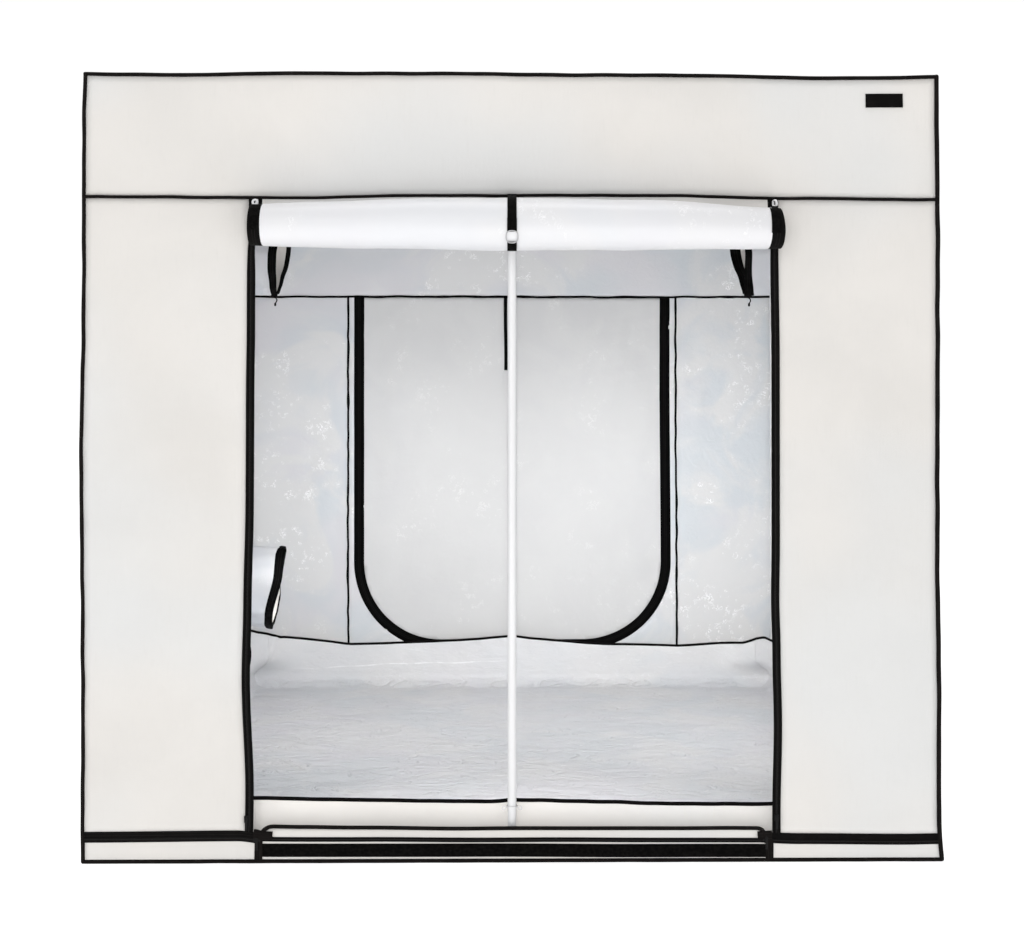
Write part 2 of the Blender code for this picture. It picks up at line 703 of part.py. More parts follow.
def slider(name, x, z, upright, material):
    """A slider on the front of a zip, with its pull hanging in front of it."""
    back = -(zip_front + GAP)
    wide, long = (SLIDER_WIDE, SLIDER_LONG) if upright else (SLIDER_LONG, SLIDER_WIDE)
    bridge_front = back - SLIDER_THICK - BRIDGE_PROUD
    body = box("body", (x - wide / 2, back - SLIDER_THICK, z - long / 2), (x + wide / 2, back, z + long / 2))
    bridge = box(
        "bridge", (x - BRIDGE_WIDE / 2, bridge_front, z - BRIDGE_LONG / 2),
        (x + BRIDGE_WIDE / 2, back - SLIDER_THICK / 2, z + BRIDGE_LONG / 2))
    pull_back = bridge_front + PULL_THICK / 2
    pull = box(
        "pull", (x - PULL_WIDE / 2, pull_back - PULL_THICK, z - PULL_LONG),
        (x + PULL_WIDE / 2, pull_back, z + BRIDGE_WIDE))
    put_fused(name, fused(name, body, (bridge, pull)), material, (x, back, z))


def sliders(dark):
    jamb_x = DOORWAY_HALF + ZIP_TAPE / 2
    jamb_z = lower_zip_high + PULL_LONG + SLIDER_WIDE
    lower_x = SILL_HALF + SLIDER_LONG / 2 + GAP
    lower_z = LOWER_ZIP_LOW + LOWER_ZIP_TALL / 2
    for side, name in ((-1, "left"), (1, "right")):
        slider(f"jamb_slider_{name}", side * jamb_x, jamb_z, True, dark)
        slider(f"lower_slider_{name}", side * lower_x, lower_z, False, dark)


# Duct sleeves

def duct_sleeve(name, side, z, sag, lean, material):
    """A limp tube through a side wall. A flange is sewn to the wall outside it, and a hem with a
    drawcord ends it inside the tent."""
    wide = SLEEVE_R + SLEEVE_FLANGE
    hem = SLEEVE_MOUTH_R + SLEEVE_HEM_PROUD
    hem_start = SLEEVE_LONG - SLEEVE_HEM_LONG
    halfway = hem_start / 2
    half_r = (SLEEVE_R + SLEEVE_MOUTH_R) / 2
    profile = [
        (-GAP, wide), (-GAP, SLEEVE_R), (CLOTH + GAP, SLEEVE_R), (halfway, half_r), (hem_start, SLEEVE_MOUTH_R),
        (hem_start, hem), (SLEEVE_LONG, hem), (SLEEVE_LONG, SLEEVE_MOUTH_R - CLOTH),
        (halfway, half_r - CLOTH), (-GAP - CLOTH, SLEEVE_R - CLOTH), (-GAP - CLOTH, wide)]
    points = []
    for inward, radius in profile:
        carried = max(inward - CLOTH, 0) / SLEEVE_LONG
        for u, v in circle(radius, SLEEVE_SIDES):
            reach = inward + lean * carried * v / (2 * SLEEVE_MOUTH_R)
            points.append((side * (face_x - reach), SLEEVE_Y + u, z + v - sag * carried ** 2))
    faces = ring_faces(len(profile), SLEEVE_SIDES)
    put_at(name, points, faces, material, (side * face_x, SLEEVE_Y, z))


def duct_sleeves(material):
    duct_sleeve("duct_sleeve_lower_left", -1, LOWER_SLEEVE_Z, LOWER_SLEEVE_SAG, LOWER_SLEEVE_LEAN, material)
    for side, name in ((-1, "left"), (1, "right")):
        duct_sleeve(
            f"duct_sleeve_upper_{name}", side, UPPER_SLEEVE_Z, UPPER_SLEEVE_SAG, UPPER_SLEEVE_LEAN, material)


# Floor tray

def tray_rim(share_x, share_y):
    """Height of the tray's rim at a place on it, each share from -1 to 1. It is hooked up at the
    corners and at the middle of each side, and sags between."""
    back = (share_y + 1) / 2
    tall = TRAY_FRONT_TALL + (TRAY_REAR_TALL - TRAY_FRONT_TALL) * back
    sag = TRAY_FRONT_SAG + (TRAY_REAR_SAG - TRAY_FRONT_SAG) * back
    along = min(abs(share_x), abs(share_y))
    return tall - sag * 4 * along * (1 - along)


def floor_tray(material):
    half_x, half_y = edge_x - 2 * hub_r - TRAY_EASE, edge_y - 2 * hub_r - TRAY_EASE
    steps = TRAY_SIDE_STEPS
    way = [2 * i / steps - 1 for i in range(steps)]
    around = [(t, -1) for t in way] + [(1, t) for t in way] + [(-t, 1) for t in way] + [(-1, -t) for t in way]
    floor, count = CLOTH + GAP, len(around)
    points = [(u * half_x, v * half_y, floor) for u, v in around]
    points += [(u * half_x, v * half_y, floor + tray_rim(u, v)) for u, v in around]
    inner_x, inner_y = half_x - CLOTH, half_y - CLOTH
    points += [(u * inner_x, v * inner_y, floor + tray_rim(u, v)) for u, v in around]
    points += [(u * inner_x, v * inner_y, floor + CLOTH) for u, v in around]
    faces = [face for face in ring_faces(4, count) if max(face) < 3 * count or min(face) >= 2 * count]
    faces += [tuple(range(count)), tuple(range(3 * count, 4 * count))]
    put_at("floor_tray", points, faces, material, (0, 0, floor))


def build():
    empty_scene()
    steel = finish("white_powder_coat", (0.86, 0.86, 0.87), 0.35, 0.0)
    fitting = finish("white_fitting", (0.80, 0.80, 0.81), 0.45)
    canvas = finish("cream_canvas", (0.79, 0.77, 0.74), 0.80)
    lining = finish("white_lining", (0.84, 0.84, 0.86), 0.30)
    liner = finish("pale_tray_cloth", (0.70, 0.71, 0.75), 0.35)
    black = finish("black_tape", (0.015, 0.014, 0.014), 0.70)
    webbing = finish("black_webbing", (0.012, 0.012, 0.012), 0.75)
    dark_metal = finish("black_zip_slider", (0.020, 0.020, 0.020), 0.40)
    bright_metal = finish("bright_metal", (0.65, 0.65, 0.66), 0.25, 1.0)

    posts_and_rails(steel)
    corner_joints(fitting)
    tee_joints(fitting)
    hanging_bars(steel)
    walls(canvas)
    rear_wall_and_door(canvas, black)
    front_wall(canvas, black)
    edge_piping(black)
    door_roll(lining)
    door_curtain(canvas)
    straps(webbing, bright_metal)
    sliders(dark_metal)
    duct_sleeves(lining)
    floor_tray(liner)


build()
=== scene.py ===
"""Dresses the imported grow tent: cloth panels, bindings, zips, the rolled door, straps, duct
sleeves and the floor tray, with their finishes, the light and the camera.

Metres, +Z up, the front of the tent faces -Y.
"""
import math

import bmesh
import bpy
import numpy as np
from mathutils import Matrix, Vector


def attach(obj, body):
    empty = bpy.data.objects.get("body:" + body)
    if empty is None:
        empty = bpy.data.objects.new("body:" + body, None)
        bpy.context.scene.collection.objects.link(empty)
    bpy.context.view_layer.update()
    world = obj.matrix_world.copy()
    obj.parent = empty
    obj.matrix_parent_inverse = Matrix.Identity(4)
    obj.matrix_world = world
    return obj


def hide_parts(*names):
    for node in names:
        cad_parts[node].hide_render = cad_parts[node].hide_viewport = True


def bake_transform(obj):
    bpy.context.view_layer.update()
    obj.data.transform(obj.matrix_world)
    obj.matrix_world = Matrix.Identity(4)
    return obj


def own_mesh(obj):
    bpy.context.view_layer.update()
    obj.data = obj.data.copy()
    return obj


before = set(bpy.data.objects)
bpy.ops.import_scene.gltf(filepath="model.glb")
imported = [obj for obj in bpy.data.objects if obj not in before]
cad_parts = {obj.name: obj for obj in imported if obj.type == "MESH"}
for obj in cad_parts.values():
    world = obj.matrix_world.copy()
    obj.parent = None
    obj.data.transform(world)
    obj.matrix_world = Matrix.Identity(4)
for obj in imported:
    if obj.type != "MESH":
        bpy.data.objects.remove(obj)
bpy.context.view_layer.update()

HALF = 1.200  # half the tent's width and depth, outside the binding
TALL = 2.200
FACE = 1.196  # from the middle out to the cloth's outer face
ROOF = 2.196
CLOTH = 0.002
TUCK = 1.1945  # how far out the panels run, inside the binding
BINDING_R = 0.0058
SEAM_Z = 1.8615
JAMB_IN, JAMB_OUT = 0.727, 0.749
SILL_HALF, SILL_TOP, SILL_ROUND = 0.700, 0.098, 0.030
LOWER_ZIP = (0.053, 0.081)
REAR_SEAM_Z = 1.740
REAR_OUT, REAR_IN = (0.7075, 0.160, 0.388), (0.6695, 0.198, 0.350)  # half width, foot, corner radius
SIDE_SEAM_X = 0.738

ROLL_MIDDLE_R, ROLL_END_R, ROLL_CORE_R = 0.0757, 0.0585, 0.012
ROLL_TURNS, ROLL_LENGTH, ROLL_SHIFT = 6.5, 1.447, 0.010
ROLL_STANDOFF, ROLL_Z = 0.014, 1.7784
ROLL_TAPE = 0.033

SLEEVE_Y, SLEEVE_R, MOUTH_R, HEM = -0.250, 0.150, 0.134, 0.030
LOWER_SLEEVE_Z, UPPER_SLEEVE_Z = 0.655, 1.790
SLEEVE_HEIGHTS = {"left": (LOWER_SLEEVE_Z, UPPER_SLEEVE_Z), "right": (UPPER_SLEEVE_Z,)}
TRAY_HALF, TRAY_FLOOR = 1.1481, 0.0023

TURN = 2 * math.pi


# Shader maths and finishes

class Number:
    """A number in a shader. An expression on it adds its Math nodes."""

    def __init__(self, finish, socket):
        self.finish, self.socket = finish, socket

    def __add__(self, other):
        return self.finish.maths("ADD", self, other)

    def __sub__(self, other):
        return self.finish.maths("SUBTRACT", self, other)

    def __rsub__(self, other):
        return self.finish.maths("SUBTRACT", other, self)

    def __mul__(self, other):
        return self.finish.maths("MULTIPLY", self, other)

    def __truediv__(self, other):
        return self.finish.maths("DIVIDE", self, other)

    def __pow__(self, other):
        return self.finish.maths("POWER", self, other)

    __radd__, __rmul__ = __add__, __mul__

    def sin(self):
        return self.finish.maths("SINE", self)

    def size(self):
        return self.finish.maths("ABSOLUTE", self)

    def above(self, edge):
        return self.finish.maths("GREATER_THAN", self, edge)

    def rest_of(self, step):
        return self.finish.maths("MODULO", self, step)

    def ramp(self, low, high):
        """0 at low, 1 at high and eased between."""
        made = self.finish.node("ShaderNodeMapRange", {"interpolation_type": "SMOOTHSTEP"},
                                {"Value": self, "From Min": low, "From Max": high})
        return Number(self.finish, made.outputs[0])


class Finish:
    """A material under construction, with one Principled shader."""

    def __init__(self, name, colour, roughness, metallic=0.0, **fixed):
        self.material = bpy.data.materials.new(name)
        self.material.use_nodes = True
        self.tree = self.material.node_tree
        self.shader = self.tree.nodes["Principled BSDF"]
        self.set({"Base Color": (*colour, 1.0), "Roughness": roughness, "Metallic": metallic, **fixed})
        self.material.diffuse_color = (*colour, 1.0)
        places = self.node("ShaderNodeTexCoord")
        self.place, self.cloth = places.outputs["Object"], places.outputs["UV"]

    def feed(self, socket, value):
        if isinstance(value, Number):
            value = value.socket
        if isinstance(value, bpy.types.NodeSocket):
            self.tree.links.new(value, socket)
        else:
            socket.default_value = value

    def set(self, values):
        for name, value in values.items():
            self.feed(self.shader.inputs[name], value)

    def node(self, kind, settings=None, values=None):
        """A node of a kind, with its settings made first and its sockets fed after."""
        made = self.tree.nodes.new(kind)
        for name, value in (settings or {}).items():
            setattr(made, name, value)
        for name, value in (values or {}).items():
            self.feed(made.inputs[name], value)
        return made

    def maths(self, operation, *values):
        made = self.node("ShaderNodeMath", {"operation": operation}, dict(enumerate(values)))
        return Number(self, made.outputs[0])

    def parts(self, vector):
        made = self.node("ShaderNodeSeparateXYZ", None, {0: vector})
        return [Number(self, out) for out in made.outputs]

    def stretched(self, vector, scale):
        return self.node("ShaderNodeMapping", None, {"Vector": vector, "Scale": scale}).outputs[0]

    def noise(self, scale, detail=3.0, vector=None, twist=0.0):
        """Soft noise, 0 to 1, with scale lumps to the metre."""
        made = self.node("ShaderNodeTexNoise", None, {
            "Vector": vector or self.place, "Scale": scale, "Detail": detail, "Distortion": twist})
        return Number(self, made.outputs[0])

    def cells(self, scale, vector=None):
        """Distance to the nearest crease of a net of cells."""
        made = self.node("ShaderNodeTexVoronoi", {"feature": "DISTANCE_TO_EDGE"},
                         {"Vector": vector or self.place, "Scale": scale})
        return Number(self, made.outputs[0])

    def blend(self, share, first, second):
        """A colour that goes from first to second as share goes from 0 to 1."""
        made = self.node("ShaderNodeMix", {"data_type": "RGBA"},
                         {0: share, 6: self.colour(first), 7: self.colour(second)})
        return made.outputs[2]

    @staticmethod
    def colour(value):
        return value if isinstance(value, bpy.types.NodeSocket) else (*value, 1.0)

    def relief(self, *heights):
        """Bump from pairs of height and depth in metres, each laid on the one before."""
        normal = None
        for height, depth in heights:
            values = {"Height": height, "Distance": depth, "Strength": 1.0}
            if normal:
                values["Normal"] = normal
            normal = self.node("ShaderNodeBump", None, values).outputs[0]
        self.set({"Normal": normal})

    def weave(self, pitch_u, pitch_v):
        """Over and under threads: the product of two waves across the cloth, 0 to 1."""
        u, v, _ = self.parts(self.cloth)
        return (u * (math.pi / pitch_u)).sin() * (v * (math.pi / pitch_v)).sin() * 0.5 + 0.5


def canvas_finish(name="cream_canvas", light=1.0, through=0.0):
    """Cream coated cloth: a fine plain weave under uneven coating, a little soiled. light scales all its colours, so
    that a lighter copy can be painted for cloth that catches more light. through makes the cloth glow by that much: a
    painted glow that brightens it where it lies in shade, standing in for light from behind it."""
    base, cream, dull, soiled = (tuple(min(c * light, 0.93) for c in tone) for tone in (
        (0.76, 0.735, 0.70), (0.800, 0.772, 0.738), (0.745, 0.722, 0.692), (0.68, 0.66, 0.63)))
    made = Finish(name, base, 0.74, **{
        "Specular IOR Level": 0.3, "Sheen Weight": 0.05, "Sheen Roughness": 0.5})
    weave = made.weave(0.0008, 0.0008)
    cloudy = made.noise(2.0, 4.0, twist=0.6)
    slubs = made.noise(160.0, 2.0, made.stretched(made.place, (1.0, 1.0, 0.12)))
    tone = made.blend(cloudy.ramp(0.32, 0.70), dull, cream)
    grey = tuple(0.75 * light * c for c in (0.993, 1.003, 1.003))
    cool = made.blend(made.noise(1.1, 2.0).ramp(0.44, 0.66) * 0.75, tone, grey)
    made.set({"Base Color": made.blend(slubs.ramp(0.55, 0.80) * 0.12, cool, soiled),
              "Roughness": cloudy * 0.10 + 0.68})
    made.relief((made.noise(9.0, 3.0), 0.0030), (slubs, 0.0004), (weave, 0.00022))
    # Painted glow: the cloth gives off a little light of its own.
    if through:
        made.set({"Emission Color": (through, through * 0.97, through * 0.93, 1.0), "Emission Strength": 1.0})
    return made.material


def lining_finish(name, base, cool, warm, bright, glint_share, crumple):
    """White film on cloth: soft gloss in clouds of cool and warm grey, with clusters of tiny crushed crease lines that
    carry painted highlights: there the colour turns to a near white and glows a little."""
    made = Finish(name, base, 0.36, **{"Specular IOR Level": 0.4, "Coat Weight": 0.10, "Coat Roughness": 0.3})
    clouds = made.noise(1.5, 3.0, twist=0.9)
    patches = made.noise(3.1, 4.0, twist=1.2)
    crushed = made.noise(26.0, 6.0, twist=1.8)
    clusters = patches.ramp(0.46, 0.62) * made.noise(8.0, 3.0).ramp(0.46, 0.60)
    lines = (made.noise(46.0, 2.0, twist=2.2) - 0.5).size().ramp(0.046, 0.014)
    creases = lines * made.noise(38.0, 1.0).ramp(0.54, 0.60) * clusters
    shade = made.blend(clouds.ramp(0.36, 0.62), cool, warm)
    shade = made.blend(patches.ramp(0.40, 0.62), shade, base)
    # Painted highlights: along the crease lines the colour turns white and glows.
    made.set({"Base Color": made.blend(creases * glint_share, shade, bright), "Roughness": crushed * 0.22 + 0.26,
              "Emission Color": made.blend(creases, (0, 0, 0), (0.22 * glint_share,) * 3), "Emission Strength": 1.0})
    made.relief((made.noise(6.0, 4.0, twist=0.7), 0.0040 * crumple), (crushed, 0.0022 * crumple),
                (creases, 0.0009 * crumple), (made.weave(0.0011, 0.0011), 0.00010))
    return made.material


def tray_finish():
    """The tray's film: cool grey, with fine wrinkles that run from side to side. Painted shade darkens the wrinkle
    lines, painted highlights lie in specks, its turned-up sides are painted lighter than its floor, and a painted
    highlight that glows a little runs along a raised line on the left half of its rear side."""
    made = Finish("tray_cloth", (0.74, 0.745, 0.77), 0.36, **{"Specular IOR Level": 0.4, "Coat Weight": 0.12,
                                                               "Coat Roughness": 0.3})
    clouds = made.noise(1.6, 3.0, twist=0.9)
    patches = made.noise(3.0, 4.0, twist=0.8)
    across = made.stretched(made.place, (0.42, 1.0, 1.0))
    wrinkles = made.noise(26.0, 5.0, across, 0.5)
    fine = made.noise(90.0, 3.0, across, 1.0)
    sharp = (made.noise(15.0, 4.0, across, 1.2) - 0.5).size().ramp(0.0, 0.09)
    shade = made.blend(clouds.ramp(0.36, 0.64), (0.700, 0.718, 0.738), (0.738, 0.728, 0.752))
    shade = made.blend(patches.ramp(0.42, 0.64), shade, (0.752, 0.748, 0.752))
    glints = fine.ramp(0.58, 0.68) * patches.ramp(0.44, 0.58) * 0.35
    # Painted shade: darker grey along the wrinkle lines.
    dark = (wrinkles - 0.5).size().ramp(0.016, 0.004) * made.noise(4.0, 3.0).ramp(0.46, 0.60) * 0.30
    shade = made.blend(dark, shade, (0.56, 0.57, 0.60))
    x, y, z = made.parts(made.place)
    # A painted highlight that glows a little, along a wavy raised line across the rear side.
    rise = (x * 9.0).sin() * 0.003 + (x * 31.0).sin() * 0.0016 + x * 0.036 + 0.1186
    ridge_highlight = (z - rise).size().ramp(0.0040, 0.0012) * y.above(1.0) * x.ramp(-1.10, -0.55) \
        * (x * -1.0).ramp(0.0, 0.12) * (made.noise(22.0, 2.0).ramp(0.30, 0.58) * 0.6 + 0.2)
    sharp = sharp * z.ramp(0.055, 0.015)
    # Painted light: the turned-up sides are lighter than the floor, as they catch more light.
    shade = made.blend(z.ramp(0.02, 0.09) * 0.45, shade, (0.88, 0.88, 0.88))
    shade = made.blend(ridge_highlight, shade, (0.97, 0.97, 0.98))
    made.set({"Base Color": made.blend(glints, shade, (0.93, 0.93, 0.95)), "Roughness": wrinkles * 0.2 + 0.28,
              "Emission Color": made.blend(ridge_highlight, (0, 0, 0), (0.06, 0.06, 0.06)), "Emission Strength": 1.0})
    made.relief((made.noise(5.0, 4.0, twist=0.8), 0.002), (wrinkles, 0.0042), (sharp, 0.0040), (fine, 0.0012))
    return made.material


def tape_finish(name, base, pitch, worn=0.5):
    """Black woven tape: ribs across it, stitching near both edges and a dusty bloom."""
    made = Finish(name, base, 0.70, **{"Specular IOR Level": 0.06})
    u, v, _ = made.parts(made.cloth)
    ribs = (u * (math.pi / pitch)).sin().size()
    stitch = (u.rest_of(0.0042) - 0.0021).size().ramp(0.0016, 0.0011)
    across = v.size()
    row = (across - 0.0036).size().ramp(0.0009, 0.0004)
    dust = made.noise(26.0, 4.0)
    tone = made.blend(dust.ramp(0.42, 0.80) * worn, base, tuple(c * 2.6 + 0.002 for c in base))
    made.set({"Base Color": made.blend(stitch * row * 0.4, tone, (0.045, 0.041, 0.038)),
              "Roughness": dust * 0.2 + 0.58})
    made.relief((ribs, 0.0003), (made.noise(700.0, 2.0), 0.0001), (stitch * row, 0.0005))
    return made.material


def webbing_finish():
    """Black webbing: slanting ribs of a twill, paler at the edges where it rubs."""
    made = Finish("black_webbing", (0.0022, 0.0020, 0.0020), 0.72, **{"Specular IOR Level": 0.03})
    u, v, _ = made.parts(made.cloth)
    twill = (u * (math.pi / 0.0016) + v.size() * (math.pi / 0.0016)).sin().size()
    rubbed = v.size().ramp(0.0095, 0.0125) * made.noise(120.0, 2.0).ramp(0.35, 0.7)
    made.set({"Base Color": made.blend(rubbed * 0.4, (0.0022, 0.0020, 0.0020), (0.012, 0.011, 0.010)),
              "Roughness": twill * 0.15 + 0.60})
    made.relief((twill, 0.0004))
    return made.material


def coil_finish():
    """Nylon zip coil, slightly shiny."""
    made = Finish("zip_coil", (0.008, 0.0075, 0.0072), 0.42, **{"Specular IOR Level": 0.12})
    made.set({"Roughness": made.noise(90.0, 2.0) * 0.2 + 0.30})
    made.relief((made.noise(900.0, 2.0), 0.00008))
    return made.material


def enamel_finish(name, base, roughness, peel):
    """Powder coat or moulded plastic: fine orange peel and faint handling marks."""
    made = Finish(name, base, roughness, **{"Coat Weight": 0.2, "Coat Roughness": 0.2})
    marks = made.noise(7.0, 5.0, made.stretched(made.place, (1.0, 1.0, 0.25)))
    made.set({"Base Color": made.blend(marks.ramp(0.60, 0.80) * 0.25, base, tuple(c * 0.86 for c in base)),
              "Roughness": marks * 0.16 + roughness - 0.08})
    made.relief((made.noise(420.0, 2.0), peel))
    return made.material


def metal_finish(name, base, roughness, metallic, gloss=0.5):
    """Plated or blacked metal, dulled in patches."""
    made = Finish(name, base, roughness, metallic, **{"Specular IOR Level": gloss})
    dull = made.noise(160.0, 4.0)
    made.set({"Roughness": dull * 0.25 + roughness - 0.08,
              "Base Color": made.blend(dull.ramp(0.5, 0.8) * 0.4, base, tuple(c * 0.72 for c in base))})
    made.relief((made.noise(1500.0, 2.0), 0.00004))
    return made.material


canvas = canvas_finish(light=0.955)
# A lighter copy of the canvas for the tray's outside, with painted light: lighter for the face that catches more light,
# and a painted glow where it lies in shade behind the sill.
painted_lit_tray_backing = canvas_finish("painted_lit_tray_backing", 1.10, 0.19)
lining = lining_finish("white_lining", (0.778, 0.778, 0.776), (0.686, 0.720, 0.748), (0.752, 0.744, 0.768),
                       (0.96, 0.96, 0.97), 0.80, 0.45)
door_lining = lining_finish("door_lining", (0.732, 0.730, 0.742), (0.714, 0.720, 0.742), (0.728, 0.720, 0.742),
                            (0.96, 0.96, 0.98), 0.30, 0.16)
sleeve_lining = lining_finish("sleeve_lining", (0.770, 0.780, 0.800), (0.680, 0.710, 0.750), (0.740, 0.745, 0.775),
                              (0.92, 0.93, 0.95), 0.15, 0.5)
flap_lining = lining_finish("rear_door_lining", (0.705, 0.705, 0.702), (0.678, 0.678, 0.682), (0.696, 0.696, 0.694),
                            (0.90, 0.90, 0.90), 0.28, 0.30)
tray_cloth = tray_finish()
binding = tape_finish("black_binding", (0.0062, 0.0050, 0.0046), 0.0011)
zip_tape = tape_finish("black_zip_tape", (0.0030, 0.0026, 0.0025), 0.0013, 0.4)
inner_tape = tape_finish("black_inner_tape", (0.0016, 0.0015, 0.0015), 0.0013, 0.1)
webbing = webbing_finish()
coil = coil_finish()
powder_coat = enamel_finish("white_powder_coat", (0.80, 0.80, 0.81), 0.34, 0.00006)
moulded = enamel_finish("white_fitting", (0.80, 0.80, 0.81), 0.45, 0.00012)
black_slider = metal_finish("black_zip_slider", (0.0080, 0.0076, 0.0076), 0.45, 0.0, 0.12)
bright_metal = metal_finish("bright_metal", (0.50, 0.50, 0.51), 0.28, 1.0)


# Waves and pulls in the cloth

def fade(t):
    t = np.clip(t, 0, 1)
    return t * t * (3 - 2 * t)


def eased(x, knots):
    """Goes through (place, value) knots with a level stretch at each, eased between them."""
    places, values = np.array(knots, float).T
    x = np.asarray(x, float)
    i = np.clip(np.searchsorted(places, x) - 1, 0, len(places) - 2)
    t = fade((x - places[i]) / (places[i + 1] - places[i]))
    return values[i] * (1 - t) + values[i + 1] * t


def ripple(points, length, seed, waves=8):
    """Sum of plane waves about length long, whose headings and phases come from seed."""
    draw = np.random.default_rng(seed)
    heading = draw.normal(size=(waves, 3))
    heading /= np.linalg.norm(heading, axis=1, keepdims=True)
    pace = TURN / (length * draw.uniform(0.7, 1.5, waves))
    phase = draw.uniform(0, TURN, waves)
    return np.cos(points @ (heading * pace[:, None]).T + phase).sum(-1) / math.sqrt(waves)


def crush(points, length, seed):
    """Sharp creases along the zero lines of a ripple, 0 to 1."""
    return np.exp(-3.5 * np.abs(ripple(points, length, seed)))


# How far each line of the front wanders: (height, sideways) for upright lines and (x, up) for
# level ones, in metres
LEFT_EDGE = ((0, 0.003), (0.13, 0.0012), (0.45, 0.0012), (0.62, -0.0005), (1.15, -0.007),
             (1.52, -0.003), (2.08, -0.003), (2.2, 0))
RIGHT_EDGE = ((0, 0.0055), (0.13, -0.002), (0.45, 0.0002), (0.84, -0.0035), (1.29, -0.0015),
              (1.77, 0.002), (2.2, 0))
LEFT_JAMB = ((0, 0.0065), (0.19, 0.009), (0.52, -0.003), (0.72, 0.0005), (1.0, 0.0052),
             (1.3, 0.0054), (1.5, 0.0074), (1.69, 0.0080), (1.76, 0.0108), (2.2, 0.006))
RIGHT_JAMB = ((0, 0), (0.13, 0), (0.38, 0.0047), (0.58, 0.0014), (0.73, -0.002),
              (0.9, 0), (1.4, 0.0004), (1.7, -0.0022), (2.2, -0.002))
TOP_EDGE = ((-1.2, 0.006), (-0.93, 0.004), (-0.6, 0.0095), (-0.15, 0.0095), (0.15, 0.0065),
            (0.36, 0.006), (0.60, 0.0045), (0.75, 0.0005), (0.87, -0.002), (1.08, -0.0005),
            (1.2, 0.003))
SEAM_LINE = ((-1.2, -0.0050), (-0.72, -0.0075), (-0.60, -0.0080), (-0.30, -0.0012),
             (0.15, 0.0002), (0.45, -0.0005), (0.75, -0.0072), (1.17, -0.0112))
FOOT_LINE = ((-1.2, 0.006), (-0.76, 0.009), (-0.72, 0.004), (-0.70, 0), (0.70, 0),
             (0.8, -0.003), (1.1, -0.0055), (1.2, -0.004))


def sway(points):
    """Points of the ideal box moved to where the hung cloth has them: each edge of the front
    wanders by its own line, and slow waves run through the rest. Nothing sinks into the ground."""
    x, y, z = points[..., 0], points[..., 1], points[..., 2]
    front = fade((-0.4 - y) / 0.75)
    at = (-HALF, -0.738, 0.738, HALF)
    lines = [eased(z, line) for line in (LEFT_EDGE, LEFT_JAMB, RIGHT_JAMB, RIGHT_EDGE)]
    share = np.clip((x - at[0]) / (at[1] - at[0]), 0, 1)
    across = lines[0] * (1 - share) + lines[1] * share
    share = np.clip((x - at[1]) / (at[2] - at[1]), 0, 1)
    across = across * (1 - share) + lines[2] * share
    share = np.clip((x - at[2]) / (at[3] - at[2]), 0, 1)
    across = across * (1 - share) + lines[3] * share
    seam, top = eased(x, SEAM_LINE), eased(x, TOP_EDGE)
    up = seam * fade((z - 1.0) / (SEAM_Z - 1.0)) * (1 - fade((z - SEAM_Z) / (TALL - SEAM_Z))) \
        + top * fade((z - SEAM_Z) / (TALL - SEAM_Z)) \
        + eased(x, FOOT_LINE) * fade((z - 0.012) / 0.035) * (1 - fade((z - 0.09) / 0.25))
    slow = 0.0018 * np.stack([ripple(points, 1.3, seed) for seed in (11, 12, 13)], -1)
    slow[..., 2] *= fade(z / 0.5)
    moved = points + slow * (1 - 0.6 * front)[..., None]
    moved[..., 0] += across * front
    moved[..., 2] += up * front
    moved[..., 2] = np.where(z < 0.02, np.maximum(moved[..., 2], z), moved[..., 2])
    return moved


# Meshes from arrays

class Shape:
    """Quads over shared points, with a place on the cloth in metres for every corner and the
    number of the finish for every face."""

    def __init__(self, points, quads, places, finish=0):
        self.points, self.quads, self.places = points, quads, places
        self.finish = np.full(len(quads), finish) if np.isscalar(finish) else finish

    @classmethod
    def joined(cls, shapes):
        starts = np.cumsum([0] + [len(s.points) for s in shapes[:-1]])
        return cls(np.concatenate([s.points for s in shapes]),
                   np.concatenate([s.quads + start for s, start in zip(shapes, starts)]),
                   np.concatenate([s.places for s in shapes]),
                   np.concatenate([s.finish for s in shapes]))


def surface(points, u, v, round_u=False, round_v=False, finish=0):
    """A grid of points as quads that face along the cross product of its two directions. u and
    v are the places on the cloth of its rows and columns. A round direction joins up."""
    rows, columns = points.shape[:2]
    i, j = np.meshgrid(np.arange(rows - (not round_u)), np.arange(columns - (not round_v)), indexing="ij")
    corner_i = np.stack([i, i + 1, i + 1, i], -1).reshape(-1, 4)
    corner_j = np.stack([j, j, j + 1, j + 1], -1).reshape(-1, 4)
    quads = (corner_i % rows) * columns + corner_j % columns
    u = np.append(u, 2 * u[-1] - u[-2]) if round_u else np.asarray(u)
    v = np.append(v, 2 * v[-1] - v[-2]) if round_v else np.asarray(v)
    return Shape(points.reshape(-1, 3), quads, np.stack([u[corner_i], v[corner_j]], -1), finish)


def steps(low, high, step):
    return np.linspace(low, high, max(2, round(abs(high - low) / step) + 1))


def along(path):
    """Distance travelled along a path at each of its points."""
    return np.concatenate([[0], np.cumsum(np.linalg.norm(np.diff(path, axis=0), axis=1))])


